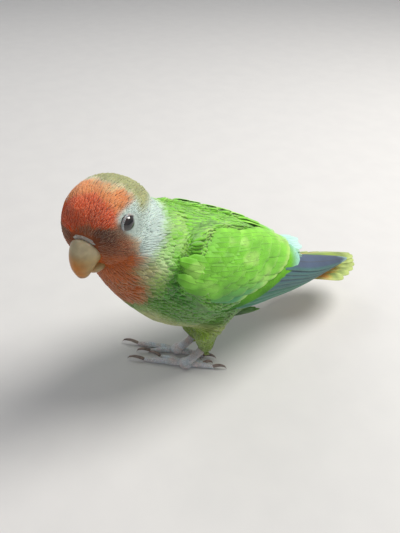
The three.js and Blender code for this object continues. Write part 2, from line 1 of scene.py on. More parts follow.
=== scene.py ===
# A peach-faced lovebird: one skin under mesh feathers, with bill, eyes and feet, in the solids' frame
import math
import bpy
import numpy as np
from mathutils import Euler, Matrix, Vector
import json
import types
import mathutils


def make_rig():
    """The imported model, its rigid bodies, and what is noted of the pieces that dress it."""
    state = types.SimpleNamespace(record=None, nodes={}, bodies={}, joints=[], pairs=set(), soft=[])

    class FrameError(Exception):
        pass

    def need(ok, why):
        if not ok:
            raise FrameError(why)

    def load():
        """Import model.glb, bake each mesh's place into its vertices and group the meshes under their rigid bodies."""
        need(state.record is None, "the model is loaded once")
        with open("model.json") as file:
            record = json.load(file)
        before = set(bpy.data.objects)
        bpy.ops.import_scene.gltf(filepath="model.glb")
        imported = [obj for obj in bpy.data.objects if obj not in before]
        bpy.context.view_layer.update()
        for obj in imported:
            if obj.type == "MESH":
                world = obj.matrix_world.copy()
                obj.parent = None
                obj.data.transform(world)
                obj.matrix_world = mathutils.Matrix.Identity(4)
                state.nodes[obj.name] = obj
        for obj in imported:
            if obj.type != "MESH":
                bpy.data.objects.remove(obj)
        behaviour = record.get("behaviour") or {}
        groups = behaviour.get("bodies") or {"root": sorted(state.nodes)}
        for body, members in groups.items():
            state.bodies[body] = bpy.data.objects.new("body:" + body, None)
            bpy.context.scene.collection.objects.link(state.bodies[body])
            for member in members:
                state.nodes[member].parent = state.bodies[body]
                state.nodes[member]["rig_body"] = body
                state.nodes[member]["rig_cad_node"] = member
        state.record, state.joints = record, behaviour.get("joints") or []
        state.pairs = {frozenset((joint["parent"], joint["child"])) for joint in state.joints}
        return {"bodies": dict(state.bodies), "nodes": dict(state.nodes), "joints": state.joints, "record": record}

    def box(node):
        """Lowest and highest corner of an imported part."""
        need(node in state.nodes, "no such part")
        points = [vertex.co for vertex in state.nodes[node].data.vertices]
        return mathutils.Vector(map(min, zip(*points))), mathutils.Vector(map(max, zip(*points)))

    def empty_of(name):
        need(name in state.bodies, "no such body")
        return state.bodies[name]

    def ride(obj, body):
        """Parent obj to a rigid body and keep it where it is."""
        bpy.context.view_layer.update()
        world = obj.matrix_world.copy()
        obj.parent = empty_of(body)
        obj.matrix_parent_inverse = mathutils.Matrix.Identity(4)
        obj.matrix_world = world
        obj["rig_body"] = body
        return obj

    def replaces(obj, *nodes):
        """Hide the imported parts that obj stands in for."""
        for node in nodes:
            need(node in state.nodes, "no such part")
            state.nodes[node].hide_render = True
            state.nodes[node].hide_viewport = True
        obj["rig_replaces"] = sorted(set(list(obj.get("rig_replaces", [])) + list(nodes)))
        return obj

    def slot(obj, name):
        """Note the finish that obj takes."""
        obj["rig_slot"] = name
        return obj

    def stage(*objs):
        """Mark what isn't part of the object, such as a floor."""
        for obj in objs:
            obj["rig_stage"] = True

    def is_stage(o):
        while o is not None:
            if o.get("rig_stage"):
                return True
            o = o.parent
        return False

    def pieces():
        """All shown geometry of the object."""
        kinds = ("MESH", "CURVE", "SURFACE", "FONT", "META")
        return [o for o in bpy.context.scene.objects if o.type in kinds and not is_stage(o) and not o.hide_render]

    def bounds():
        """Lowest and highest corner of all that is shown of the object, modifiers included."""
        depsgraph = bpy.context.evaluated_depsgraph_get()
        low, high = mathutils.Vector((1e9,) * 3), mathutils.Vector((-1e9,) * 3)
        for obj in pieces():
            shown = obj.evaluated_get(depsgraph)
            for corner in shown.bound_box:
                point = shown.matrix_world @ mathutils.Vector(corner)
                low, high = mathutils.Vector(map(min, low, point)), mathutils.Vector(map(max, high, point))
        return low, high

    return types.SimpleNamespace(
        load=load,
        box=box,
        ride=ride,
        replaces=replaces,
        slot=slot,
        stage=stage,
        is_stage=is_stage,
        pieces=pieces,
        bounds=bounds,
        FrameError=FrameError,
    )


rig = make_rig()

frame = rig.load()
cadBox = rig.bounds()
scene = bpy.context.scene
scene.view_settings.view_transform = "Standard"
mm = 0.001
print("frame loaded")

# Places that the solids share, in millimetres before the part is centred
body = dict(middle=(0, 8, 49.5), tilt=23)
head = dict(middle=(-0.4, -36.5, 85.4), yaw=32, pitch=0.5, roll=-5, front=15.9, back=18, side=16, crown=15.7,
            chin=15.6, full=2.2)
eye = dict(place=(6.2, 10.1, 5.9), out=(0.22, 1, 0.07))
foot = dict(turn={1: 41, -1: 50}, pads={1: (2.3, -5.8), -1: (-7.6, -3.9)}, heelRise=12, heelBack=8.5,
            sole=(3.2, 3.2, 2.2), flat=0.35, clawFlat=0.15, clawRise=0.02)
sides = {"left": 1, "right": -1}


def through(rows, at):
    # Smooth reading of a table of stations, each row [place, value, value, ...]
    rows, at = np.asarray(rows, float), np.asarray(at, float)
    places, values = rows[:, 0], rows[:, 1:]
    last = len(rows) - 1
    before = np.maximum(np.arange(last + 1) - 1, 0)
    after = np.minimum(np.arange(last + 1) + 1, last)
    slopes = (values[after] - values[before]) / (places[after] - places[before])[:, None]
    k = np.clip(np.searchsorted(places, at, side="right") - 1, 0, last - 1)
    width = (places[k + 1] - places[k])[..., None]
    t = np.clip((at[..., None] - places[k][..., None]) / width, 0, 1)
    h = 2 * t ** 3 - 3 * t ** 2 + 1
    bend = (t ** 3 - 2 * t ** 2 + t) * slopes[k] + (t ** 3 - t ** 2) * slopes[k + 1]
    return h * values[k] + (1 - h) * values[k + 1] + width * bend


def unit(v):
    v = np.asarray(v, float)
    return v / np.maximum(np.linalg.norm(v, axis=-1, keepdims=True), 1e-9)


def ramp(low, high, x):
    t = np.clip((np.asarray(x, float) - low) / (high - low), 0, 1)
    return t * t * (3 - 2 * t)


def distance(points, place):
    return np.linalg.norm(points - place, axis=1)


tilt = math.radians(body["tilt"])
forwardUp = np.array([0, -math.cos(tilt), math.sin(tilt)])
backUp = np.array([0, math.sin(tilt), math.cos(tilt)])
bodyMiddle = np.array(body["middle"], float)
headMiddle = np.array(head["middle"], float)
headAngles = head["roll"], -head["pitch"], head["yaw"] - 90
headTurn = np.array(Euler(tuple(map(math.radians, headAngles))).to_matrix())


def bodyPoint(side, along, high):
    side, along, high = np.broadcast_arrays(side, along, high)
    sideways = np.stack([side, 0 * side, 0 * side], -1).astype(float)
    return sideways + along[..., None] * forwardUp + high[..., None] * backUp + bodyMiddle


def bodyPlaces(points):
    q = points - bodyMiddle
    return q[:, 0], q @ forwardUp, q @ backUp


def headPoint(forward, left, up):
    return np.stack(np.broadcast_arrays(forward, left, up), -1) @ headTurn.T + headMiddle


def headPlaces(points):
    # Reach from the head's middle, 1 on its surface, and unit directions ahead, left and up
    h = (points - headMiddle) @ headTurn / np.array([head["front"], head["side"], head["crown"]])
    reach = np.linalg.norm(h, axis=1)
    return reach, h / np.maximum(reach, 1e-6)[:, None]


def eyeOut(side):
    return unit(np.array(eye["out"]) * [1, side, 1] @ headTurn.T)


def eyeMiddle(side):
    return headPoint(*(np.array(eye["place"]) * [1, side, 1]))


shift = np.array(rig.box("eye_left")).mean(0) / mm - eyeMiddle(1)


# Shader expressions
class Wire:
    def __init__(self, tree, socket):
        self.tree, self.socket = tree, socket

    def work(self, operation, *parts):
        node = self.tree.nodes.new("ShaderNodeMath")
        node.operation = operation
        for socket, part in zip(node.inputs, parts):
            plug(self.tree, socket, part)
        return Wire(self.tree, node.outputs[0])

    def __add__(self, other):
        return self.work("ADD", self, other)

    def __mul__(self, other):
        return self.work("MULTIPLY", self, other)

    def __sub__(self, other):
        return self.work("SUBTRACT", self, other)

    __radd__ = __add__
    __rmul__ = __mul__


def plug(tree, socket, value):
    if isinstance(value, Wire):
        tree.links.new(value.socket, socket)
    else:
        socket.default_value = value


class Finish:
    def __init__(self, name, **fixed):
        self.material = bpy.data.materials.new(name)
        self.material.use_nodes = True
        self.tree = self.material.node_tree
        self.shader = self.tree.nodes["Principled BSDF"]
        for key, value in fixed.items():
            self.feed(key.replace("_", " "), value)

    def node(self, kind, settings=None, out=0, **values):
        made = self.tree.nodes.new("ShaderNode" + kind)
        for key, value in (settings or {}).items():
            setattr(made, key, value)
        for key, value in values.items():
            plug(self.tree, made.inputs[key.replace("_", " ")], value)
        return Wire(self.tree, made.outputs[out])

    def feed(self, name, value):
        plug(self.tree, self.shader.inputs[name], value)

    def objectPlace(self):
        return self.node("TexCoord", out="Object")

    def noise(self, scale, detail=2.0, rough=0.5):
        return self.node("TexNoise", Vector=self.objectPlace(), Scale=scale, Detail=detail, Roughness=rough)

    def bands(self, direction, place, scale, distortion, detail=2.0):
        return self.node("TexWave", {"wave_type": "BANDS", "bands_direction": direction}, 1,
                         Vector=place, Scale=scale, Distortion=distortion, Detail=detail)

    def spread(self, value, low, high, toLow=0.0, toHigh=1.0):
        return self.node("MapRange", Value=value, From_Min=low, From_Max=high, To_Min=toLow, To_Max=toHigh)

    def mix(self, amount, first, second, blend="MIX"):
        made = self.tree.nodes.new("ShaderNodeMix")
        made.data_type, made.blend_type = "RGBA", blend
        for index, value in zip((0, 6, 7), (amount, first, second)):
            plug(self.tree, made.inputs[index], value)
        return Wire(self.tree, made.outputs[2])

    def attribute(self, name, out):
        return self.node("Attribute", {"attribute_name": name}, out)

    def tinted(self, light):
        # The markings, made lighter or darker
        grey = self.node("CombineColor", Red=light, Green=light, Blue=light)
        return self.mix(1.0, self.attribute("markings", "Color"), grey, "MULTIPLY")

    def onVane(self):
        # How far a place on a feather is from its shaft, and how far along it
        place = self.attribute("vanePlace", "Vector")
        across, along = (self.node("SeparateXYZ", None, i, Vector=place) for i in (0, 1))
        return across.work("ABSOLUTE", across), along

    def bump(self, height, strength, distance):
        self.feed("Normal", self.node("Bump", Height=height, Strength=strength, Distance=distance))


def linear(red, green, blue):
    c = np.array([red, green, blue], float) / 255
    return np.where(c <= 0.04045, c / 12.92, ((c + 0.055) / 1.055) ** 2.4)


def shade(red, green, blue):
    return (*linear(red, green, blue).tolist(), 1.0)


def palette(**colours):
    return {name: linear(*colour) for name, colour in colours.items()}


# Meshes
def makePiece(name, points, faces, material=None):
    mesh = bpy.data.meshes.new(name)
    mesh.from_pydata(((np.asarray(points) + shift) * mm).tolist(), [], faces)
    mesh.shade_smooth()
    mesh.update()
    piece = bpy.data.objects.new(name, mesh)
    scene.collection.objects.link(piece)
    if material:
        mesh.materials.append(material)
    return piece


def setValues(mesh, name, kind, values):
    key = {"FLOAT": "value", "FLOAT_VECTOR": "vector", "FLOAT_COLOR": "color"}[kind]
    mesh.attributes.new(name, kind, "POINT").data.foreach_set(key, np.asarray(values, np.float32).ravel())


def paint(piece, colours):
    setValues(piece.data, "markings", "FLOAT_COLOR", np.column_stack([colours, np.ones(len(colours))]))


def placesOf(mesh):
    places = np.empty(len(mesh.vertices) * 3, np.float32)
    mesh.vertices.foreach_get("co", places)
    return places.reshape(-1, 3) / mm - shift


def ballGrid(around, along):
    # Unit vectors of a ball with its poles on y, and its faces
    turn = np.arange(around) * 2 * np.pi / around
    fall = np.linspace(0, np.pi, along + 1)[1:-1]
    ring = np.stack([np.outer(np.sin(fall), np.cos(turn)), np.outer(np.cos(fall), np.ones(around)),
                     -np.outer(np.sin(fall), np.sin(turn))], -1).reshape(-1, 3)
    points = np.concatenate([[[0, 1, 0]], ring, [[0, -1, 0]]])
    at = 1 + np.arange((along - 1) * around).reshape(along - 1, around)
    after = np.roll(at, -1, axis=1)
    quads = np.stack([at[:-1], at[1:], after[1:], after[:-1]], -1).reshape(-1, 4).tolist()
    end = len(points) - 1
    tops = [(0, int(a), int(b)) for a, b in zip(at[0], after[0])]
    ends = [(end, int(b), int(a)) for a, b in zip(at[-1], after[-1])]
    return points, quads + tops + ends


def rounded(around, along, place):
    # A ball's grid carried to a form by place(unit vectors), with its faces turned out
    units, faces = ballGrid(around, along)
    points = place(units)
    q = points - points.mean(0)
    volume = sum(q[face[0]] @ np.cross(q[b], q[c]) for face in faces for b, c in zip(face[1:-1], face[2:]))
    return points, faces if volume > 0 else [tuple(reversed(face)) for face in faces]


def gather(forms):
    points, faces, count = [], [], 0
    for formPoints, formFaces in forms:
        points.append(formPoints)
        faces += [tuple(i + count for i in face) for face in formFaces]
        count += len(formPoints)
    return np.concatenate(points), faces


def roundOf(units, blunt=8):
    # Across and up round the axis, drawn together towards both ends
    ring = np.hypot(units[:, 0], units[:, 2])
    ring = np.where(ring < 1e-6, 1, ring)
    close = np.sqrt(np.maximum(0, 1 - np.abs(units[:, 1]) ** blunt))
    return close * units[:, 0] / ring, close * units[:, 2] / ring


# Body forms, repeated from the solids and drawn in by the coat's depth
trunkRows = [
    [-54, 10, -1, 8], [-46, 12, -1.5, 9.5], [-36, 15, -7, 13.5], [-22, 18.5, -15.5, 18.5],
    [-6, 21.5, -24.6, 22], [10, 23, -27.5, 23], [24, 24.5, -25, 22], [36, 26, -19.3, 19.8],
    [46, 28, -13.5, 17.6], [56, 30, -7, 15.6], [64, 30, 0, 14]]
trunkEnds = dict(rear=-54, front=62, blunt=8)
wingRows = [
    [-80, 8.4, 10.5, 5.0], [-60, 5.6, 15.3, 8.5], [-42, 2.9, 19.0, 13.0], [-22, 1.2, 22.2, 18.8],
    [-6, -0.4, 24.4, 23.2], [10, -0.6, 25.2, 25.2], [24, 1.0, 24.2, 25.0], [36, 4.0, 21.6, 23.4]]
arm = dict(middle=-3, half=35, blunt=3, out=1.2, sunk=4.2, narrow=2.6)
armRows = [[-40, 30, 78], [-22, -2, 80], [-4, -20, 78], [14, -26, 74], [32, -16, 64]]
thigh = dict(hip=(11.5, 3, 40), radii=(10, 7, 3.4))
skin = dict(depth=0.9, headDepth=0.75, voxel=0.7, smooth=12, melt=90, meltStep=0.6, socket=4.3,
            socketSink=1.5)


def trunkForm(units, depth):
    middle = (trunkEnds["front"] + trunkEnds["rear"]) / 2
    half = (trunkEnds["front"] - trunkEnds["rear"]) / 2
    along = middle + half * units[:, 1]
    back, belly, width = through(trunkRows, along).T
    across, up = roundOf(units, trunkEnds["blunt"])
    highAt = (back + belly) / 2 + ((back - belly) / 2 - depth) * up
    return bodyPoint((width - depth) * across, along - depth * units[:, 1], highAt)


def headForm(units, depth):
    f, l, u = units.T
    cheek = 1 + 0.06 * np.exp(-(((u + 0.45) / 0.35) ** 2)) * np.exp(-(((f - 0.1) / 0.5) ** 2))
    brow = 1 + 0.035 * np.exp(-(((u - 0.5) / 0.25) ** 2)) * np.exp(-(((f - 0.75) / 0.3) ** 2))
    full = (np.abs(units) ** head["full"]).sum(1) ** (-1 / head["full"])
    return headPoint(f * (np.where(f > 0, head["front"], head["back"]) * brow * full - depth),
                     l * (head["side"] * cheek * full - depth),
                     u * (np.where(u > 0, head["crown"], head["chin"]) * full - depth))


def wingPoint(side, along, turn, lift):
    # turn is in degrees, 0 at the flank and 90 on the spine; lift stands off the wing's own surface
    along, turn, lift = np.broadcast_arrays(along, turn, lift)
    centre, width, height = np.moveaxis(through(wingRows, along), -1, 0)
    c, s = np.cos(np.radians(turn)), np.sin(np.radians(turn))
    normal = unit(np.stack([c / width, s / height], -1))
    out, rise = lift * normal[..., 0], lift * normal[..., 1]
    return bodyPoint(side * (width * c + out), along, centre + height * s + rise)


def armForm(side, units, depth):
    along = arm["middle"] + (arm["half"] - depth) * units[:, 0]
    lowAt, topAt = through(armRows, along).T
    edge = np.maximum(0, 1 - np.abs(units[:, 0]) ** arm["blunt"]) ** (1 / arm["blunt"])
    ring = np.hypot(units[:, 1], units[:, 2])
    ring = np.where(ring < 1e-6, 1, ring)
    turn = (lowAt + topAt) / 2 + ((topAt - lowAt) / 2 - depth * arm["narrow"]) * edge * units[:, 1] / ring
    reach = np.where(units[:, 2] > 0, arm["out"] - depth, arm["sunk"])
    return wingPoint(side, along, turn, reach * edge * units[:, 2] / ring)


def toeAim(side, heading):
    turn = math.radians(side * heading - foot["turn"][side])
    return np.array([math.sin(turn), -math.cos(turn), 0.0])


def legPoints(side):
    x, y = foot["pads"][side]
    pad = np.array([x, y, foot["sole"][2]])
    heel = np.array([x, y, foot["heelRise"]]) - foot["heelBack"] * toeAim(side, 0)
    return pad, heel, thigh["hip"] * np.array([side, 1, 1.0])


def smoothPath(points, shares):
    # A curve through all the points, read at shares of its length from 0 to 1
    return through(np.column_stack([np.linspace(0, 1, len(points)), points]), shares)


def limbForm(points, radii, units, ripple=None):
    shares = 0.5 + 0.5 * units[:, 1]
    ahead, behind = (smoothPath(points, np.clip(shares + step, 0, 1)) for step in (0.01, -0.01))
    tangent = unit(ahead - behind)
    sideways = unit(np.cross(tangent, np.array([0, 0.35, 1.0])))
    radius = smoothPath(radii, shares)[:, 0]
    if ripple:
        radius = radius + ripple(shares)
    across, up = roundOf(units)
    return (smoothPath(points, shares) + sideways * (across * radius)[:, None]
            + np.cross(sideways, tangent) * (up * radius)[:, None])


def thighForm(side, units, depth):
    _, heel, hip = legPoints(side)
    knee = hip * 0.5 + heel * 0.5 + np.array([side * 0.6, -2.5, 1])
    cuff = heel + np.array([0, 0.6, -1.2])
    return limbForm([hip, knee, cuff], np.array(thigh["radii"]) - depth, units)


def applied(piece):
    # The evaluated mesh takes the place of the piece's own, and its modifiers go
    mesh = bpy.data.meshes.new_from_object(piece.evaluated_get(bpy.context.evaluated_depsgraph_get()))
    old = piece.data
    piece.modifiers.clear()
    piece.data = mesh
    bpy.data.meshes.remove(old)
    return piece


def melted(mesh):
    # The folded arm's edges melt into the trunk
    points = placesOf(mesh)
    ends = np.empty(len(mesh.edges) * 2, np.int32)
    mesh.edges.foreach_get("vertices", ends)
    a, b = ends.reshape(-1, 2).T
    count = np.bincount(ends, minlength=len(points))[:, None]
    side, along, _ = bodyPlaces(points)
    melt = ramp(4, 9, np.abs(side)) * ramp(-34, -20, along) * ramp(50, 42, along) * ramp(24, 31, points[:, 2])

    def besides(values):
        return np.bincount(a, values[b], len(values)) + np.bincount(b, values[a], len(values))

    for _ in range(skin["melt"]):
        total = np.stack([besides(values) for values in points.T], -1)
        points = points + (skin["meltStep"] * melt)[:, None] * (total / count - points)
    mesh.vertices.foreach_set("co", ((points + shift) * mm).astype(np.float32).ravel())
    mesh.update()


def makeSkin():
    depth = skin["depth"]
    forms = [rounded(96, 72, lambda u: trunkForm(u, depth)),
             rounded(72, 52, lambda u: headForm(u, skin["headDepth"]))]
    for side in sides.values():
        socket = eyeMiddle(side) - skin["socketSink"] * eyeOut(side)
        forms += [rounded(64, 40, lambda u: armForm(side, u, depth)),
                  rounded(40, 30, lambda u: thighForm(side, u, depth)),
                  rounded(32, 24, lambda u: socket + u * skin["socket"])]
    piece = makePiece("bodySkin", *gather(forms))
    fuse = piece.modifiers.new("fuse", "REMESH")
    fuse.mode, fuse.voxel_size, fuse.use_smooth_shade = "VOXEL", skin["voxel"] * mm, True
    soften = piece.modifiers.new("soften", "SMOOTH")
    soften.factor, soften.iterations = 0.5, skin["smooth"]
    melted(applied(piece).data)
    return piece


bodySkin = makeSkin()
print("skin fused", len(bodySkin.data.polygons))


# Markings: smooth zones in the head's and the body's own directions, broken up by soft noise, with painted shade on
# the face and a painted highlight on the upper body
# lores, the dark brown between bill and eye, is mostly painted shade; face is the face's own orange darkened towards
# brown by painted shade
plumage = palette(
    forehead=(214, 78, 26), forecrown=(222, 132, 72), crownPale=(206, 188, 140), hindCrown=(162, 162, 108),
    lores=(108, 60, 38), greyLores=(142, 106, 82), cheek=(200, 216, 206), cheekWarm=(182, 150, 120),
    face=(154, 86, 52), collar=(178, 202, 146), throat=(188, 94, 36), breast=(84, 146, 40),
    mantle=(128, 204, 48), back=(132, 208, 56), wing=(112, 188, 48), wingLow=(62, 134, 48),
    belly=(104, 150, 52), bellyEdge=(206, 204, 140), rump=(168, 222, 210), rumpPale=(222, 244, 236),
    underTail=(86, 142, 56), thigh=(128, 160, 40), highlight=(196, 230, 132))


def softNoise(points, size, seed):
    # Smooth values about -1 to 1 from waves in random directions; size is the width of a patch
    draw = np.random.default_rng(seed)
    total = np.zeros(len(points))
    for octave in range(3):
        for _ in range(5):
            aim = unit(draw.normal(size=3)) * (2 * np.pi / (size * draw.uniform(1.4, 2.6))) * 1.9 ** octave
            total += np.sin(points @ aim + draw.uniform(0, 6.28)) * 0.62 ** octave
    return np.clip(total / 3.2, -1, 1)


def over(base, mask, colour):
    return base + (colour - base) * np.broadcast_to(np.clip(mask, 0, 1), len(base))[:, None]


def layered(colours, base, count, layers):
    # A base colour under others, each with its mask
    result = np.tile(colours[base], (count, 1))
    for mask, name in layers:
        result = over(result, mask, colours[name])
    return result


def varied(colour, change):
    return np.clip(colour * (1 + change)[:, None], 0, 1)


def alongLeg(points, side):
    # Share of the way from hip to heel, distance from that line, and its direction
    _, heel, hip = legPoints(side)
    axis = heel - hip
    share = np.clip(((points - hip) @ axis) / (axis @ axis), 0, 1)
    return share, distance(points, hip + share[:, None] * axis), unit(axis)


def headColours(aim, grain, fine):
    # Painted shade and light: the patch between bill and eye is darker on the bird's left, shaded side; on the right
    # side, out of that shade, the orange reaches further down
    f, l, u = aim[:, 0], np.abs(aim[:, 1]), aim[:, 2]
    near = ramp(-0.5, 0.1, aim[:, 1])
    cheekLine = f - 0.53 - 0.4 * (u + 0.1)
    warm = ramp(-0.1, 0.1, cheekLine + 0.08 * grain)
    ahead = f + 0.04 * grain
    greyLores = ramp(0.50, 0.62, ahead) * ramp(0.34, 0.46, l) * ramp(0.0, 0.2, u) * ramp(0.5, 0.4, u)
    lores = ramp(0.72, 0.82, ahead) * ramp(0.14, 0.28, l) * ramp(-0.15, 0.05, u) * ramp(0.42, 0.34, u)
    temple = ramp(0.7, 0.52, l + 0.05 * grain - 0.2 * (1 - near))
    orange = ramp(0.30, 0.40, u + 0.04 * grain + 0.3 * (1 - near)) * temple * ramp(0.0, 0.3, f)
    deep = ramp(0.90, 0.76, u + 0.5 * l - 0.1 * f + 0.04 * grain) * ramp(0.45, 0.62, f + 0.06 * grain)
    crown = ramp(0.78, 0.93, u - 0.2 * f + 0.1 * grain + 0.12 * aim[:, 1]) * ramp(0.72, 0.5, f)
    patch = (ramp(0.5, 0.25, np.hypot((f - 0.32) / 0.45, (l - 0.42) / 0.35))
             + ramp(0.5, 0.2, np.hypot((f - 0.16) / 0.3, (l - 0.6) / 0.2)))
    return layered(plumage, "cheek", len(aim), [
        (ramp(-0.26, -0.05, cheekLine + 0.1 * grain) * ramp(0.3, 0.1, u), "cheekWarm"),
        # the face's own orange, darkened towards brown: partly painted shade
        (warm, "face"),
        (warm * ramp(-0.2, -0.45, u), "throat"),
        (greyLores * 0.8, "greyLores"),
        # painted shade between bill and eye, stronger on the bird's left side
        (lores * (0.35 + 0.5 * near), "lores"),
        # painted light: more forehead orange on the bird's right side, out of the shade
        ((1 - near) * ramp(0.0, 0.2, u) * ramp(0.3, 0.5, f) * 0.8, "forehead"),
        (orange, "forecrown"),
        (orange * deep, "forehead"),
        (crown * 0.8, "crownPale"),
        (np.clip(patch, 0, 1) * ramp(0.5, 0.6, u) * (0.75 + 0.25 * fine), "forecrown"),
        (ramp(0.16, -0.1, f + 0.12 * grain) * ramp(0.36, 0.62, u), "hindCrown")])


def markings(points):
    side, along, up = bodyPlaces(points)
    back, belly, _ = through(trunkRows, along).T
    level = (up - (back + belly) / 2) / np.maximum(1, (back - belly) / 2)
    reach, aim = headPlaces(points)
    broad, fine = softNoise(points, 11, 3), softNoise(points, 3.4, 8)
    grain = 0.5 * broad + 0.5 * fine
    onWing = ramp(13, 18, np.abs(side)) * ramp(-0.75, -0.3, level) * ramp(44, 34, along)
    underBelly = (ramp(-0.6, -0.85, level) * ramp(-1.2, -1.02, level)
                  * ramp(42, 32, along) * ramp(-24, -6, along))
    onLeg = ramp(27, 20, points[:, 2])
    for sign in sides.values():
        share, away, _ = alongLeg(points, sign)
        onLeg = np.maximum(onLeg, ramp(13, 9, away) * ramp(0.2, 0.4, share))
    onNeck = ramp(35, 44, along + 2.5 * broad + 3 * (level < 0) * level)
    throatward = aim @ [0.52, 0, -0.80] - 0.28 * np.abs(aim[:, 1])
    front = along + 1.5 * grain
    bib = ramp(0.47, 0.66, throatward + 0.1 * grain) * ramp(2.3, 2.0, reach) * ramp(39, 44, front)
    chest = ramp(40, 45, front) * ramp(-0.4, -0.75, level) * ramp(13, 9, np.abs(side))
    colour = layered(plumage, "back", len(points), [
        (ramp(16, 34, along) * 0.7, "mantle"),
        (onWing * 0.75, "wing"),
        (onWing * ramp(0.35, -0.45, level + 0.15 * broad), "wingLow"),
        (ramp(0.25, 0.7, broad) * ramp(0.0, 0.4, level) * 0.35, "highlight"),
        (ramp(-0.15, -0.55, level + 0.1 * grain), "breast"),
        (ramp(-0.3, -0.8, level) * ramp(26, 8, along), "belly"),
        (underBelly * 0.85, "bellyEdge"),
        (ramp(-26, -40, along) * ramp(0.0, -0.5, level), "underTail"),
        (ramp(-27, -36, along + 2 * broad) * ramp(0.0, 0.45, level), "rump"),
        (onLeg, "thigh"),
        (onNeck * ramp(-0.45, 0.1, level + 0.2 * grain), "collar"),
        (ramp(0.35, 0.8, level) * ramp(36, 42, along) * 0.6, "mantle"),
        (ramp(0.1, 0.36, throatward) * ramp(2.4, 2.0, reach) * onNeck * 0.7, "cheekWarm"),
        (np.maximum(bib, chest), "throat")])
    colour = over(colour, ramp(1.32, 1.12, reach + 0.05 * grain), headColours(aim, grain, fine))
    return varied(colour, 0.1 * fine + 0.05 * broad)


# Where the green feathers of the folded wing end: turn round the wing, then place along the body
wingEdges = [[-40, 26], [-24, 16], [-6, 4.5], [0, 0], [16, -13], [35, -25], [62, -33], [90, -38]]


def wingEdge(turn):
    return through(wingEdges, np.clip(turn, -40, 90))[..., 0]


# Rows of the wing's feathers from the longest to the shoulder, and how far forward the coat leaves room
wing = dict(
    primaries=dict(count=8, root=(8, -17), rise=8, tips=(-54, -79), turns=(3, 37), half=5.0,
                   lift=(-1.9, -0.8), tilt=0.9),
    secondaries=dict(count=12, turns=(4, 78), ahead=2, length=27, half=4.0, lift=0.2, tilt=0.5),
    greater=dict(count=12, turns=(4, 74), ahead=10, length=17, half=3.8, lift=0.6, tilt=0.4),
    median=dict(count=13, turns=(4, 68), ahead=17, length=12, half=3.2, lift=0.95, tilt=0.3),
    lesser=dict(count=15, turns=(3, 64), ahead=23.5, length=11, half=2.7, lift=1.1, tilt=0.3),
    least=dict(count=17, turns=(2, 60), ahead=29.5, length=10, half=2.3, lift=1.2, tilt=0.2),
    shoulder=dict(count=10, turns=(16, 58), ahead=36, length=10, half=2.3, lift=1.2, tilt=0.2),
    shoulderFront=dict(count=8, turns=(22, 56), ahead=41.5, length=10, half=2.3, lift=1.2, tilt=0.2))
wingRoom = dict(mostAhead=35, foremost=27, coatAhead=27, coatMost=23)
# The far wing is tucked lower and shorter, under the rump's feathers
tucked = dict(tips=(-50, -66), turns=(-16, 12), lift=(-3.2, -2.6))

# The coat: spacing by zone and lengths in millimetres, stand as a slope, and where the bill's root is
coat = dict(face=0.36, head=0.46, neck=0.62, trunk=0.72, length=3.0, longer=2.2, headLength=3.2,
            faceShorter=1.7, thighLength=3.2, stand=0.035, billRoot=(17.0, 0.0, -3.0))
# Bare places: up to the heels, round the eyes, and the bill's seat in the head's own directions
bareParts = dict(heel=1.5, eyeOut=3.2, eyeNear=3.7, seatFront=8.5, seatSide=5.2, seatTop=2.0, seatLow=-13)


def coatZones(points, side, along, up, reach, faceNear, onThigh):
    # Nothing grows on the bill's seat, the eyes' rims, the bare heels and under the long wing feathers
    bare = points[:, 2] < foot["heelRise"] - bareParts["heel"]
    eyeNear = np.zeros(len(points), bool)
    for sign in sides.values():
        bare |= distance(points, eyeMiddle(sign) + bareParts["eyeOut"] * eyeOut(sign)) < bareParts["eyeNear"]
        eyeNear |= distance(points, eyeMiddle(sign)) < 9
    f, l, u = ((points - headMiddle) @ headTurn).T
    bare |= ((f > bareParts["seatFront"]) & (np.abs(l) < bareParts["seatSide"])
             & (u < bareParts["seatTop"]) & (u > bareParts["seatLow"]))
    centre, wide, tall = through(wingRows, along).T
    across, high = np.abs(side) / wide, (up - centre) / tall
    turn = np.degrees(np.arctan2(high, across))
    onWing = (np.abs(side) > 3) & (np.hypot(across, high) > 0.86) & (turn > -26) & (along > -80)
    ahead = 2 + (wingRoom["coatAhead"] - 2 + 14 * ramp(10, 40, turn)) * ramp(-6, 6, turn)
    quilled = along < np.minimum(wingEdge(turn) + ahead, wingRoom["coatMost"])
    bare |= onWing & (turn < 56 + 14 * ramp(0, -16, along)) & quilled
    face = (reach < 1.25) & ((faceNear > 0.25) | eyeNear)
    crown = (reach < 1.3) & ~face
    neck = (reach >= 1.3) & (along > 40) | (onThigh > 0.4)
    trunk = ~(face | crown | neck)
    zones = dict(face=face, head=crown, neck=neck, back=trunk & (up > 2), belly=trunk & (up <= 2))
    return {name + "Zone": zone & ~bare for name, zone in zones.items()}


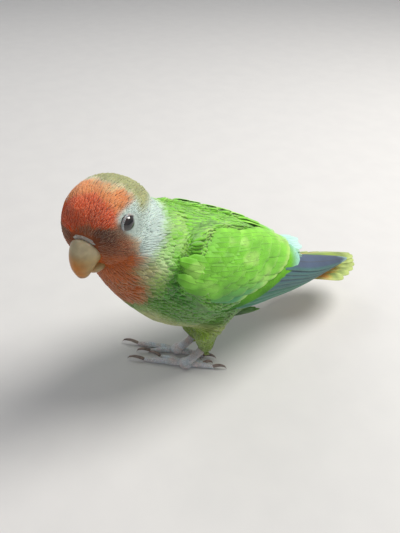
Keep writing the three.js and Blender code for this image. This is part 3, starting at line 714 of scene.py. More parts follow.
def layCoat(points, normals):
    # Backwards from the bill over the head, then towards the tail and down the thighs
    side, along, up = bodyPlaces(points)
    reach, _ = headPlaces(points)
    fromBill = points - headPoint(*coat["billRoot"])
    faceNear = ramp(26, 6, np.linalg.norm(fromBill, axis=1))
    lie = -forwardUp + ramp(1.7, 1.05, reach)[:, None] * (unit(fromBill) + forwardUp)
    lie[:, 0] += 0.12 * np.sign(side) * ramp(3, 14, np.abs(side)) * ramp(20, -10, along)
    onThigh = np.zeros(len(points))
    for sign in sides.values():
        share, away, axis = alongLeg(points, sign)
        here = ramp(12, 7, away) * ramp(0.28, 0.5, share)
        onThigh = np.maximum(onThigh, here)
        lie += here[:, None] * (axis - lie)
    lie += 0.07 * np.stack([softNoise(points, 9, seed) for seed in (21, 22, 23)], -1)
    lie = unit(lie - (lie * normals).sum(1, keepdims=True) * normals)
    length = coat["length"] + coat["longer"] * ramp(56, 22, along)
    length += ramp(1.5, 1.15, reach) * (coat["headLength"] - coat["faceShorter"] * faceNear - length)
    length += onThigh * (coat["thighLength"] - length)
    for sign in sides.values():
        length *= 0.45 + 0.55 * ramp(4.5, 9, distance(points, eyeMiddle(sign) + 3 * eyeOut(sign)))
    low = ramp(-0.2, -0.8, (points[:, 2] - 45) / 30)
    stand = coat["stand"] + 0.07 * faceNear + 0.04 * low + 0.02 * onThigh
    zones = coatZones(points, side, along, up, reach, faceNear, onThigh)
    return lie, dict(reach=length, stand=stand, **zones)


def unwrap(piece):
    piece.data.uv_layers.new(name="OFBake")
    bpy.context.view_layer.objects.active = piece
    piece.select_set(True)
    bpy.ops.object.mode_set(mode="EDIT")
    bpy.ops.mesh.select_all(action="SELECT")
    bpy.ops.uv.smart_project(angle_limit=math.radians(70), island_margin=0.004)
    bpy.ops.object.mode_set(mode="OBJECT")
    piece.select_set(False)


def dressSkin():
    unwrap(bodySkin)
    mesh = bodySkin.data
    points = placesOf(mesh)
    normals = np.empty(len(points) * 3, np.float32)
    mesh.vertex_normals.foreach_get("vector", normals)
    lie, values = layCoat(points, normals.reshape(-1, 3).astype(float))
    paint(bodySkin, markings(points))
    setValues(mesh, "lie", "FLOAT_VECTOR", lie)
    for name, value in values.items():
        setValues(mesh, name, "FLOAT", value)


dressSkin()
print("skin marked")


def plumageFinish():
    # Small feathers: markings from the skin, paler fringes, painted shade towards the root and fine barbs
    f = Finish("contourFeathers", Roughness=0.62, Specular_IOR_Level=0.28, Sheen_Weight=0.25,
               Sheen_Roughness=0.5, Subsurface_Weight=0.08, Subsurface_Scale=0.002)
    wide, along = f.onVane()
    tone = f.attribute("tone", "Fac")
    fringe = f.spread(along + wide * wide * 0.35, 0.72, 1.05)
    # painted shade: each feather darker towards its root, where the feathers above it lie
    lit = f.tinted(f.spread(along, 0.0, 0.4, 0.88, 1.0) * (0.93 + tone * 0.14))
    f.feed("Base Color", f.mix(fringe * 0.12, lit, shade(232, 236, 180)))
    rays = f.bands("X", f.node("CombineXYZ", X=along - wide * 0.5), 5.0, 1.2)
    f.bump(rays * 0.5 + f.noise(2600.0) * 0.5, 0.35, 0.00012)
    return f.material


def skinFinish():
    f = Finish("downAndSkin", Roughness=0.8, Specular_IOR_Level=0.2)
    fuzz = f.noise(1400.0, 3.0)
    f.feed("Base Color", f.tinted(f.spread(fuzz, 0.3, 0.7, 0.72, 0.92)))
    f.bump(fuzz, 0.6, 0.0003)
    return f.material


bodySkin.data.materials.append(skinFinish())
plumageMaterial = plumageFinish()

# A small feather one unit long: a ridge over a flat underside, closed at root and tip
vaneRows = np.array([0, 0.25, 0.55, 0.82, 1.0])


def smallVane(name, widths, bend, camber, notch):
    points, faces, place = [], [], []
    for t, w in zip(vaneRows, widths):
        for s in (-1, 0, 1):
            high = -bend * t * t + camber * (1 - s * s) * (0.4 + 0.6 * t)
            points.append((s * w / 2, t - notch * abs(s) * (t > 0.9), high))
            place.append((s, t, 0))
    end = 3 * (len(vaneRows) - 1)
    for a in range(0, end, 3):
        faces += [(a, a + 1, a + 4, a + 3), (a + 1, a + 2, a + 5, a + 4), (a + 3, a + 5, a + 2, a)]
    faces += [(0, 2, 1), (end, end + 1, end + 2)]
    mesh = bpy.data.meshes.new(name)
    mesh.from_pydata(points, [], faces)
    mesh.shade_smooth()
    setValues(mesh, "vanePlace", "FLOAT_VECTOR", place)
    return bpy.data.objects.new(name, mesh)


def vaneSet(name, shapes):
    group = bpy.data.collections.new(name)
    for i, shape in enumerate(shapes):
        group.objects.link(smallVane(f"{name}{i}", *shape))
    return group


# Widths along the feather, bend, camber and the notch at its tip
roundVanes = vaneSet("roundVanes", [
    ((0.12, 0.40, 0.50, 0.44, 0.16), 0.035, 0.018, 0.02),
    ((0.12, 0.36, 0.48, 0.46, 0.20), 0.05, 0.02, 0.0),
    ((0.12, 0.38, 0.46, 0.38, 0.12), 0.03, 0.016, 0.04)])
narrowVanes = vaneSet("narrowVanes", [
    ((0.10, 0.26, 0.30, 0.22, 0.05), 0.08, 0.05, 0.0),
    ((0.10, 0.24, 0.30, 0.26, 0.07), 0.12, 0.06, 0.0),
    ((0.10, 0.28, 0.32, 0.22, 0.05), 0.05, 0.05, 0.0)])


class Tree:
    # A Geometry Nodes tree with named inputs
    def __init__(self, name):
        self.tree = bpy.data.node_groups.new(name, "GeometryNodeTree")
        for way in ("INPUT", "OUTPUT"):
            self.tree.interface.new_socket("Geometry", in_out=way, socket_type="NodeSocketGeometry")
        self.start = self.tree.nodes.new("NodeGroupInput")
        self.end = self.tree.nodes.new("NodeGroupOutput")
        self.sockets = {}

    def input(self, name, kind, value=None):
        made = self.tree.interface.new_socket(name, in_out="INPUT", socket_type="NodeSocket" + kind)
        if value is not None:
            made.default_value = value
        self.sockets[name] = made.identifier
        return self.start.outputs[name]

    def node(self, kind, settings=None, out=0, links=None):
        made = self.tree.nodes.new(kind)
        for key, value in (settings or {}).items():
            setattr(made, key, value)
        for key, value in (links or {}).items():
            if isinstance(value, bpy.types.NodeSocket):
                self.tree.links.new(value, made.inputs[key])
            else:
                made.inputs[key].default_value = value
        return made if out is None else made.outputs[out]

    def named(self, name, kind):
        return self.node("GeometryNodeInputNamedAttribute", {"data_type": kind}, "Attribute", {"Name": name})

    def stored(self, geometry, name, kind, domain, value):
        return self.node("GeometryNodeStoreNamedAttribute", {"data_type": kind, "domain": domain}, 0, {
            "Geometry": geometry, "Name": name, "Value": value})

    def random(self, low, high, seed):
        return self.node("FunctionNodeRandomValue", {"data_type": "FLOAT_VECTOR"}, 0, {
            0: low, 1: high, "Seed": seed})

    def vector(self, operation, first, second):
        return self.node("ShaderNodeVectorMath", {"operation": operation}, 0, {
            0: first, "Scale" if operation == "SCALE" else 1: second})

    def maths(self, operation, first, second):
        return self.node("ShaderNodeMath", {"operation": operation}, 0, {0: first, 1: second})


def coatTree(name):
    # Feathers on the skin: spaced evenly, laid along the lie, realized, each with a patch of the bake map
    g = Tree(name)
    spacing = g.input("Spacing", "Float", 0.001)
    most = g.input("Most per square metre", "Float", 4e6)
    seed = g.input("Seed", "Int", 1)
    zone = g.input("Zone", "String", "")
    vanes = g.input("Vanes", "Collection")
    longer = g.input("Length factor", "Float", 1.0)
    patch = g.input("Bake patch", "Float", 0.003)
    material = g.input("Material", "Material")
    spread = g.node("GeometryNodeDistributePointsOnFaces", {"distribute_method": "POISSON"}, None, {
        "Mesh": g.start.outputs["Geometry"], "Distance Min": spacing, "Density Max": most,
        "Density Factor": g.named(zone, "FLOAT"), "Seed": seed})
    rooted = g.stored(spread.outputs["Points"], "rootPlace", "FLOAT_VECTOR", "POINT",
                      g.named("OFBake", "FLOAT_VECTOR"))
    cleared = g.node("GeometryNodeRemoveAttribute", None, 0, {"Geometry": rooted, "Name": "OFBake"})
    upright = g.node("FunctionNodeAlignRotationToVector", {"axis": "Z"}, 0, {
        "Vector": spread.outputs["Normal"]})
    laid = g.node("FunctionNodeAlignRotationToVector", {"axis": "Y", "pivot_axis": "Z"}, 0, {
        "Rotation": upright, "Vector": g.named("lie", "FLOAT_VECTOR")})
    stand = g.node("ShaderNodeCombineXYZ", None, 0, {0: g.named("stand", "FLOAT")})
    lean = g.vector("ADD", stand, g.random((-0.02, -0.05, -0.10), (0.02, 0.05, 0.10), seed))
    turn = g.node("FunctionNodeRotateRotation", {"rotation_space": "LOCAL"}, 0, {
        0: laid, 1: g.node("FunctionNodeEulerToRotation", None, 0, {0: lean})})
    size = g.maths("MULTIPLY", g.maths("MULTIPLY", g.named("reach", "FLOAT"), mm), longer)
    vary = g.random((0.85, 0.85, 0.8), (1.15, 1.12, 1.2), g.maths("ADD", seed, 5.0))
    group = g.node("GeometryNodeCollectionInfo", None, 0, {
        "Collection": vanes, "Separate Children": True, "Reset Children": True})
    placed = g.node("GeometryNodeInstanceOnPoints", None, 0, {
        "Points": cleared, "Instance": group, "Pick Instance": True, "Rotation": turn,
        "Scale": g.vector("SCALE", vary, size)})
    tone = g.node("FunctionNodeRandomValue", {"data_type": "FLOAT"}, 1, {
        2: 0.0, 3: 1.0, "Seed": g.maths("ADD", seed, 9.0)})
    toned = g.stored(placed, "tone", "FLOAT", "INSTANCE", tone)
    real = g.node("GeometryNodeRealizeInstances", None, 0, {"Geometry": toned})
    local = g.vector("MULTIPLY", g.named("vanePlace", "FLOAT_VECTOR"), (0.45, 0.9, 0.0))
    small = g.vector("SCALE", g.vector("SUBTRACT", local, (0.0, 0.45, 0.0)), patch)
    mapped = g.vector("ADD", small, g.named("rootPlace", "FLOAT_VECTOR"))
    baked = g.stored(real, "OFBake", "FLOAT2", "CORNER", mapped)
    finished = g.node("GeometryNodeSetMaterial", None, 0, {"Geometry": baked, "Material": material})
    g.tree.links.new(finished, g.end.inputs["Geometry"])
    return g


feathering = coatTree("coatFeathers")


def grow(name, zone, spacing, vanes, seed, longer=1.0):
    piece = bpy.data.objects.new(name, bodySkin.data.copy())
    scene.collection.objects.link(piece)
    nodes = piece.modifiers.new("coat", "NODES")
    nodes.node_group = feathering.tree
    for key, value in {"Spacing": spacing * mm, "Seed": seed, "Zone": zone, "Vanes": vanes,
                       "Length factor": longer, "Material": plumageMaterial}.items():
        nodes[feathering.sockets[key]] = value
    applied(piece)
    print(name, "triangles", sum(len(face.vertices) - 2 for face in piece.data.polygons))
    return piece


coats = [
    grow("faceFeathers", "faceZone", coat["face"], narrowVanes, 11),
    grow("headFeathers", "headZone", coat["head"], narrowVanes, 12, 1.1),
    grow("neckFeathers", "neckZone", coat["neck"], roundVanes, 13),
    grow("backFeathers", "backZone", coat["trunk"], roundVanes, 14),
    grow("bellyFeathers", "bellyZone", coat["trunk"], roundVanes, 15)]
print("coat grown")


# Long feathers: closed vanes with a raised shaft, each mapped to its own cell of the bake map
quill = dict(across=(-1, -0.82, -0.5, -0.2, -0.05, 0, 0.05, 0.2, 0.5, 0.82, 1), steps=12, tipSteps=6,
             camber=0.3, shaft=0.16, edge=0.02)


def longVane(place, halfWidth, tint, thick, cell, cells):
    # place(t, sideways, lift) gives points and halfWidth(t) a width, in mm; the map has cells in a row
    tips = np.linspace(0, np.pi / 2, quill["tipSteps"] + 1)[1:]
    tt, ss = np.meshgrid(np.concatenate([np.linspace(0, 0.8, quill["steps"]), 0.8 + 0.2 * np.sin(tips)]),
                         quill["across"], indexing="ij")
    reach = halfWidth(tt)
    ridge = quill["shaft"] * np.exp(-((ss / 0.06) ** 2)) * (1.05 - tt)
    crown = quill["camber"] * (1 - ss ** 2)
    edge = np.sqrt(np.maximum(0, 1 - ss ** 6)) * 0.5 * thick + quill["edge"]
    top = place(tt, ss * reach, crown + ridge + edge).reshape(-1, 3)
    under = place(tt, ss * reach, crown - 0.4 * ridge - edge).reshape(-1, 3)
    at = np.arange(tt.size).reshape(tt.shape)
    faces = np.stack([at[:-1, :-1], at[1:, :-1], at[1:, 1:], at[:-1, 1:]], -1).reshape(-1, 4)
    rim = np.concatenate([at[:, 0], at[-1, 1:], at[-2::-1, -1], at[0, -2:0:-1]])
    wall = np.stack([rim, np.roll(rim, -1), np.roll(rim, -1) + tt.size, rim + tt.size], -1)
    faces = np.concatenate([faces, faces[:, [0, 3, 2, 1]] + tt.size, wall[:, ::-1]])
    vane = np.stack([ss, tt, 0 * tt], -1).reshape(-1, 3)
    acrossMap = cell % cells + 0.08 + 0.84 * (ss * 0.5 + 0.5) * 0.5
    bake = np.stack([acrossMap, cell // cells + 0.06 + 0.88 * tt], -1).reshape(-1, 2) / cells
    colours = tint(tt.ravel(), ss.ravel(), top)
    return (np.concatenate([top, under]), faces, np.concatenate([vane, vane + [0, 0, 1]]),
            np.concatenate([bake, bake + [0.45 / cells, 0]]), np.concatenate([colours, colours]))


def vaneWidth(half, root, swell, least, start, sharp):
    # Half the width along a long feather: narrower at its root, round from start to its tip
    def width(t):
        tip = np.maximum(0, 1 - np.clip((t - start) / (1 - start), 0, 1) ** sharp) ** (1 / sharp)
        return half * (root + (1 - root) * ramp(0, swell, t)) * (least + (1 - least) * tip)
    return width


def turned(points, faces, count=0):
    a, b, c, d = (points[faces[:, i]] - points.mean(0) for i in range(4))
    volume = (a * np.cross(b, c)).sum() + (a * np.cross(c, d)).sum()
    return ((faces if volume > 0 else faces[:, ::-1]) + count).tolist()


def quillFinish():
    f = Finish("flightFeathers", Roughness=0.5, Specular_IOR_Level=0.35, Sheen_Weight=0.1,
               Sheen_Roughness=0.5)
    wide, along = f.onVane()
    rays = f.bands("X", f.node("CombineXYZ", X=along - wide * 0.16), 26.0, 0.6)
    lit = f.tinted(f.spread(rays, 0.0, 1.0, 0.94, 1.05) * f.spread(f.noise(240.0, 3.0), 0.3, 0.7, 0.92, 1.08))
    f.feed("Base Color", f.mix(f.spread(wide, 0.03, 0.07, 1.0, 0.0) * 0.35, lit, shade(70, 66, 50)))
    f.bump(rays, 0.25, 0.0001)
    return f.material


quillMaterial = quillFinish()


def quillPiece(name, vanes):
    faces, count = [], 0
    for vane in vanes:
        faces += turned(vane[0], vane[1], count)
        count += len(vane[0])
    points, _, place, bake, colours = map(np.concatenate, zip(*vanes))
    piece = makePiece(name, points, faces, quillMaterial)
    setValues(piece.data, "vanePlace", "FLOAT_VECTOR", place)
    paint(piece, colours)
    corners = np.empty(len(piece.data.loops), np.int64)
    piece.data.loops.foreach_get("vertex_index", corners)
    layer = piece.data.uv_layers.new(name="OFBake")
    layer.data.foreach_set("uv", bake[corners].astype(np.float32).ravel())
    return piece


quillColours = palette(slate=(72, 88, 112), slateDark=(44, 58, 76), teal=(44, 122, 92),
                       tealBright=(64, 150, 104), rim=(178, 220, 110), edge=(150, 184, 178))
tealShare = dict(secondaries=0.75, greater=0.3)
rimShare = dict(secondaries=0.75, greater=0.18)


def tierTint(tier, share, seed):
    def tint(t, s, points):
        if tier == "primaries":
            outer = ramp(0.55, 0.2, share) * ramp(1.6, 0.2, s)
            colour = layered(quillColours, "slate", len(t), [
                (ramp(0.55, 0.95, t) * 0.6, "slateDark"),
                (np.maximum(outer, ramp(-0.55, -0.85, s) * 0.5) * ramp(1.0, 0.8, t), "teal"),
                (ramp(0.93, 0.99, t + 0.05 * s * s) * 0.7, "edge"),
                (ramp(-0.86, -0.98, s) * 0.25, "edge")])
        else:
            bright = ramp(0.3, 0.02, share) * tealShare.get(tier, 0)
            colour = over(markings(points), bright, quillColours["tealBright"])
            tip = ramp(0.84, 0.99, t + 0.1 * s * s)
            colour = over(colour, tip * rimShare.get(tier, 0.1), quillColours["rim"])
        return varied(colour, 0.07 * softNoise(points, 6, seed))
    return tint


def wingFeathers(side):
    draw = np.random.default_rng(31 if side > 0 else 32)
    vanes = []
    for tier, plan in wing.items():
        long = tier == "primaries"
        if long and side < 0:
            plan = {**plan, **tucked}
        for i in range(plan["count"]):
            share = i / (plan["count"] - 1)
            tipTurn = np.interp(share, [0, 1], plan["turns"]) + draw.normal() * 0.5
            lift = np.interp(share, [0, 1], np.broadcast_to(plan["lift"], 2)) + draw.normal() * 0.05
            if long:
                rootAlong, rootTurn = plan["root"][0], plan["root"][1] + plan["rise"] * i
                tipAlong = np.interp(share, [0, 1], plan["tips"]) + draw.normal() * 0.4
            else:
                tipAlong = float(wingEdge(np.array(tipTurn))) + plan["ahead"] + draw.normal() * 0.35
                rootAlong = min(tipAlong + plan["length"], wingRoom["mostAhead"])
                rootTurn = tipTurn * 0.94 - 2
            if tipAlong > wingRoom["foremost"]:
                continue
            half = plan["half"] * (1 + 0.03 * draw.normal())

            def place(t, off, up):
                along = rootAlong + (tipAlong - rootAlong) * t
                row = through(wingRows, along)
                around = np.degrees(off / ((row[..., 1] + row[..., 2]) / 2))
                sunk = 1.5 * ramp(0.45, 0.0, t) + 0.8 * ramp(58, 80, tipTurn)
                return wingPoint(side, along, rootTurn + (tipTurn - rootTurn) * t + around,
                                 lift - off / half * plan["tilt"] + up - sunk)

            width = vaneWidth(half, 0.5, 0.25, 0.03, 0.62, 1.6 if long else 2.3)
            vanes.append(longVane(place, width, tierTint(tier, share, 40 + len(vanes)), 0.22, len(vanes), 12))
    return vanes


# The tail's fan, the rump's feathers over its root and the vent's below it
tail = dict(count=12, root=-44, tip=-93, high=4.8, rise=4.5, roots=6, spread=13, half=3.3, step=0.9,
            shorter=0.7)
coverts = dict(count=8, root=-27, tip=-60, sides=(-14, -4), rootSides=(-9, 0), rootHigh=8, high=11.6,
               half=2.7, step=0.3)
vent = dict(count=9, root=4, tip=-33, sides=(-8, 11), rootHigh=-23, high=-18.5, half=3.2)
tailColours = palette(olive=(160, 180, 72), tip=(182, 196, 120), orange=(216, 142, 48), green=(104, 150, 58),
                      dusk=(96, 100, 84))


def tailVane(i, draw):
    middle = (tail["count"] - 1) / 2
    rank, out = abs(i - middle) - 0.5, (i - middle) / middle
    tip = tail["tip"] + tail["shorter"] * rank * rank + draw.normal() * 0.35

    def place(t, off, up):
        sideAt = out * (tail["roots"] + (tail["spread"] - tail["roots"]) * t ** 1.2) + off
        droop = 0.01 * sideAt ** 2 + 0.25 * np.sign(out) * off / tail["half"]
        return bodyPoint(sideAt, tail["root"] + (tip - tail["root"]) * t,
                         tail["high"] - tail["step"] * rank + tail["rise"] * t - droop + up)

    def tint(t, s, points):
        patch = softNoise(points, 5, 60 + i)
        return varied(layered(tailColours, "green", len(t), [
            (ramp(0.3, 0.75, t) * 0.8, "olive"),
            (ramp(0.3, 0.7, abs(out) + 0.2 * patch) * ramp(0.1, 0.3, t) * ramp(0.8, 0.62, t), "orange"),
            (ramp(0.72, 0.84, t) * ramp(0.94, 0.86, t) * 0.45, "dusk"),
            (ramp(0.84, 0.96, t) * 0.8, "tip"),
            (ramp(0.55, 0.9, s * np.sign(out)) * 0.7, "tip")]), 0.08 * patch)
    return place, vaneWidth(tail["half"], 0.55, 0.3, 0.05, 0.7, 2.4), tint


def covertVane(i, draw):
    share = i / (coverts["count"] - 1)
    rootSide, tipSide = (np.interp(share, [0, 1], coverts[key]) for key in ("rootSides", "sides"))
    tip = coverts["tip"] + 3 * share + draw.normal() * 0.8

    def place(t, off, up):
        high = coverts["rootHigh"] + (coverts["high"] - coverts["rootHigh"]) * t ** 0.7
        high = high - coverts["step"] * abs(i - 3) - 0.02 * (off + 3) ** 2 + up
        return bodyPoint(rootSide + (tipSide - rootSide) * t + off,
                         coverts["root"] + (tip - coverts["root"]) * t, high)

    def tint(t, s, points):
        return layered(plumage, "rump", len(t), [
            (ramp(0.5, 0.1, t) * 0.7, "back"), (ramp(0.6, 1.0, t) * 0.5, "rumpPale")])
    return place, vaneWidth(coverts["half"], 0.6, 0.3, 0.06, 0.7, 2.4), tint


def ventVane(i, draw):
    share = i / (vent["count"] - 1)
    tipSide = np.interp(share, [0, 1], vent["sides"])
    tip = vent["tip"] + 5 * (2 * share - 1) ** 2 + draw.normal() * 1.5

    def place(t, off, up):
        sideAt = tipSide * (0.8 + 0.2 * t) + off
        high = vent["rootHigh"] + (vent["high"] - vent["rootHigh"]) * t ** 1.6
        return bodyPoint(sideAt, vent["root"] + (tip - vent["root"]) * t, high + 0.022 * sideAt ** 2 - up)

    def tint(t, s, points):
        return layered(plumage, "belly", len(t), [
            (ramp(0.3, 0.7, t), "wingLow"), (ramp(0.5, 1.0, t) * 0.8, "back")])
    return place, vaneWidth(vent["half"], 0.6, 0.3, 0.06, 0.6, 1.8), tint


def tailFeathers():
    draw = np.random.default_rng(51)
    plans = [make(i, draw) for make, plan in ((tailVane, tail), (covertVane, coverts), (ventVane, vent))
             for i in range(plan["count"])]
    return quillPiece("tailFeathers", [longVane(*plan, 0.24, cell, 6) for cell, plan in enumerate(plans)])


wingPieces = {word: quillPiece("wingFeathers_" + word, wingFeathers(side)) for word, side in sides.items()}
tailPiece = tailFeathers()
print("wings and tail made")

# The bill, a bent horn in two pieces with the cere at its root
billRows = [[0, 8.5, -4.2, 5.8, 7.2, 4], [0.3, 13.2, -4.8, 5.7, 6.2, 30], [0.55, 15.6, -7.4, 5.0, 4.9, 58],
            [0.8, 16.5, -10.9, 3.7, 3.4, 80], [1, 16.0, -14.8, 1.6, 1.4, 98]]
lowerBillRows = [[0, 6, -11.8, 4.8, 3.2, -14], [0.5, 10.6, -12.6, 4.5, 3.0, 6],
                 [1, 13.8, -11.8, 3.2, 1.6, 30]]
cere = dict(line=0.27, under=0.03, over=0.02, nostrilShare=0.2, nostrilSide=40, nostril=0.8)
# hole is painted shade, the dark inside the nostrils
bill = palette(horn=(170, 146, 94), ochre=(188, 116, 28), pale=(178, 166, 138), grey=(150, 146, 134),
               cere=(196, 190, 180), cereWarm=(180, 160, 146), hole=(70, 52, 44))


def billPoint(share, turn, margin):
    forward, up, width, depth, lean = np.moveaxis(through(billRows, share), -1, 0)
    ridge = 0.25 * np.exp(-(((turn - np.pi / 2) / 0.35) ** 2)) * ramp(0.25, 0.6, share)
    top = np.sin(turn) * (depth * np.where(np.sin(turn) > 0, 1, 0.92) + margin) + ridge
    return headPoint(forward + top * np.sin(np.radians(lean)), np.cos(turn) * (width + margin),
                     up + top * np.cos(np.radians(lean)))


def billForm(units, first, last, margin=None, blunt=14):
    share = first + (last - first) * (0.5 + 0.5 * units[:, 1])
    close = np.sqrt(np.maximum(0, 1 - np.abs(units[:, 1]) ** blunt))
    turn = np.arctan2(units[:, 2], units[:, 0])
    heart = (billPoint(share, 0 * turn, 0) + billPoint(share, 0 * turn + np.pi, 0)) / 2
    return heart + (billPoint(share, turn, margin(share, turn) if margin else 0) - heart) * close[:, None]


def lowerBillForm(units):
    forward, up, width, depth, lean = through(lowerBillRows, 0.5 + 0.5 * units[:, 1]).T
    close = np.sqrt(np.maximum(0, 1 - np.abs(units[:, 1]) ** 6))
    turn = np.arctan2(units[:, 2], units[:, 0])
    top = np.sin(turn) * depth * close
    return headPoint(forward - top * np.sin(np.radians(lean)), np.cos(turn) * width * close,
                     up + top * np.cos(np.radians(lean)))


def nostrilTurn(sign):
    return np.pi / 2 - sign * math.radians(cere["nostrilSide"])


def cereSwell(share, turn):
    # Two soft mounds over the nostrils, with the holes sunk in them
    swell = 0.35 * np.exp(-(((share - 0.22) / 0.08) ** 2)) - 0.05
    for sign in sides.values():
        away = np.hypot((share - cere["nostrilShare"]) * 17, (turn - nostrilTurn(sign)) * 6.6)
        swell = swell + 0.55 * np.exp(-((away / 2.1) ** 2)) - 1.5 * np.exp(-((away / cere["nostril"]) ** 4))
    return swell


def hornFinish(name):
    f = Finish(name, Roughness=0.38, Specular_IOR_Level=0.45, Coat_Weight=0.15, Coat_Roughness=0.3,
               Subsurface_Weight=0.12, Subsurface_Scale=0.003)
    grain = f.noise(420.0, 4.0, 0.6)
    streak = f.bands("Z", f.objectPlace(), 120.0, 6.0, 3.0)
    light = f.spread(grain, 0.3, 0.7, 0.86, 1.1) * f.spread(streak, 0.0, 1.0, 0.95, 1.04)
    f.feed("Base Color", f.tinted(light))
    f.feed("Roughness", f.spread(grain, 0.3, 0.7, 0.3, 0.5))
    f.bump(grain * 0.6 + streak * 0.4, 0.25, 0.0002)
    return f.material


def bareSkinFinish(name, scale):
    f = Finish(name, Roughness=0.52, Specular_IOR_Level=0.35, Subsurface_Weight=0.15, Subsurface_Scale=0.002)
    cells = f.node("TexVoronoi", {"feature": "DISTANCE_TO_EDGE"}, "Distance",
                   Vector=f.objectPlace(), Scale=scale)
    cracks = f.spread(cells, 0.0, 0.18)
    f.feed("Base Color", f.tinted(f.spread(cracks, 0.0, 1.0, 0.72, 1.04)
                                  * f.spread(f.noise(500.0, 3.0), 0.3, 0.7, 0.9, 1.08)))
    f.bump(cracks, 0.5, 0.0002)
    return f.material


def makeBill():
    hornMaterial = hornFinish("billHorn")
    low, high = cere["line"] - cere["under"], cere["line"] + cere["over"]
    upper = makePiece("beakUpper", *rounded(56, 60, lambda u: billForm(u, low, 1.0)), hornMaterial)
    lower = makePiece("beakLower", *rounded(40, 30, lowerBillForm), hornMaterial)
    ring = makePiece("cereSkin", *rounded(96, 44, lambda u: billForm(u, 0.0, high, cereSwell, 10)),
                     bareSkinFinish("cereSkinFinish", 900.0))
    for piece in (upper, lower):
        p = (placesOf(piece.data) - headMiddle) @ headTurn
        patch = softNoise(p, 5, 71)
        paint(piece, varied(layered(bill, "horn", len(p), [
            (ramp(-7, -2, p[:, 2]) * 0.7, "pale"),
            (ramp(4.5, 0.0, p[:, 1] + 0.8 * patch) * ramp(-3, -8, p[:, 2]), "ochre"),
            (ramp(-11.5, -15, p[:, 2] + 0.5 * patch) * 0.4, "grey")]), 0.05 * patch))
    points = placesOf(ring.data)
    holes = np.zeros(len(points))
    for sign in sides.values():
        hole = billPoint(np.array(cere["nostrilShare"]), np.array(nostrilTurn(sign)), -0.5)
        holes = np.maximum(holes, ramp(1.0, 0.5, distance(points, hole)))
    warm = 0.5 + 0.5 * softNoise((points - headMiddle) @ headTurn, 3, 72)
    # painted shade inside the nostrils
    paint(ring, layered(bill, "cere", len(points), [(warm, "cereWarm"), (holes * 0.85, "hole")]))
    return upper, lower, ring


beakUpper, beakLower, cereSkin = makeBill()
print("bill made")

# Eyes: a dark glossy ball, its pupil blacker than its iris, in a rim of small pale scales
lids = dict(ball=3.3, forward=0.5, middle=3.0, thick=0.42, height=2.05, scales=28, tucked={1: 0, -1: 1.2})
eyeColours = palette(iris=(34, 24, 20), pupil=(8, 7, 7), rim=(186, 190, 190), rimDark=(150, 150, 148))


def eyeFinish():
    f = Finish("wetEye", Roughness=0.05, Specular_IOR_Level=0.6, Coat_Weight=1.0, Coat_Roughness=0.02)
    f.feed("Base Color", f.attribute("markings", "Color"))
    return f.material


def makeEyes():
    ballMaterial, rimMaterial = eyeFinish(), bareSkinFinish("eyeRimSkin", 1500.0)
    pieces = {}
    for word, side in sides.items():
        out = eyeOut(side)
        seat = eyeMiddle(side) - lids["tucked"][side] * out
        middle = seat + lids["forward"] * out
        rotate = np.array(Vector((0, 1, 0)).rotation_difference(Vector(out)).to_matrix())

        def ball(units):
            swell = 1 + 0.03 * ramp(0.8, 0.95, units[:, 1])
            return middle + (units * lids["ball"] * swell[:, None]) @ rotate.T

        piece = makePiece("eye_ball_" + word, *rounded(40, 40, ball), ballMaterial)
        facing = unit(placesOf(piece.data) - middle) @ out
        paint(piece, layered(eyeColours, "iris", len(facing), [(ramp(0.80, 0.84, facing), "pupil")]))
        turns = (np.arange(count) * 2 * np.pi / count for count in (lids["scales"] * 6, 12))
        uu, vv = np.meshgrid(*turns, indexing="ij")
        thick = lids["thick"] * (1 + 0.16 * np.cos(uu * lids["scales"]) * ramp(-0.2, 0.6, np.sin(vv)))
        radius = lids["middle"] * (1 - 0.06 * np.cos(2 * uu)) + thick * np.cos(vv)
        high = lids["height"] + thick * np.sin(vv) * 1.1
        ring = np.stack([radius * np.cos(uu), high, radius * np.sin(uu)], -1)
        at = np.arange(uu.size).reshape(uu.shape)
        ahead = np.roll(at, -1, 0)
        faces = np.stack([at, ahead, np.roll(ahead, -1, 1), np.roll(at, -1, 1)], -1).reshape(-1, 4)
        points = seat + ring.reshape(-1, 3) @ rotate.T
        rim = makePiece("eye_rim_" + word, points, turned(points, faces), rimMaterial)
        dark = 0.4 + 0.4 * softNoise(points, 1.5, 81)
        paint(rim, layered(eyeColours, "rim", len(points), [(dark, "rimDark")]))
        pieces[word] = (piece, rim)
    return pieces


eyes = makeEyes()
print("eyes made")

# Feet: shanks and toes with cross scutes, soft pads below, and curved claws
toes = [dict(name="outer_front", heading=-2, length=20, thick=1.5, claw=8),
        dict(name="inner_front", heading=-17, length=13.5, thick=1.35, claw=6.5),
        dict(name="outer_rear", heading=180, length=13, thick=1.4, claw=6.2),
        dict(name="inner_rear", heading=-168, length=8.5, thick=1.3, claw=4.6)]
clawRows = [[0, 0, 0, 0.95], [0.45, 0.5, 1.15, 0.75], [0.8, 0.86, 0.7, 0.45], [1, 1, -0.75, 0.14]]
# shank is a brown that stands for shade on the upper shank: painted shade
feetColours = palette(skin=(204, 212, 218), pink=(208, 196, 194), shank=(132, 116, 102), claw=(150, 134, 124),
                      clawDark=(110, 96, 90))


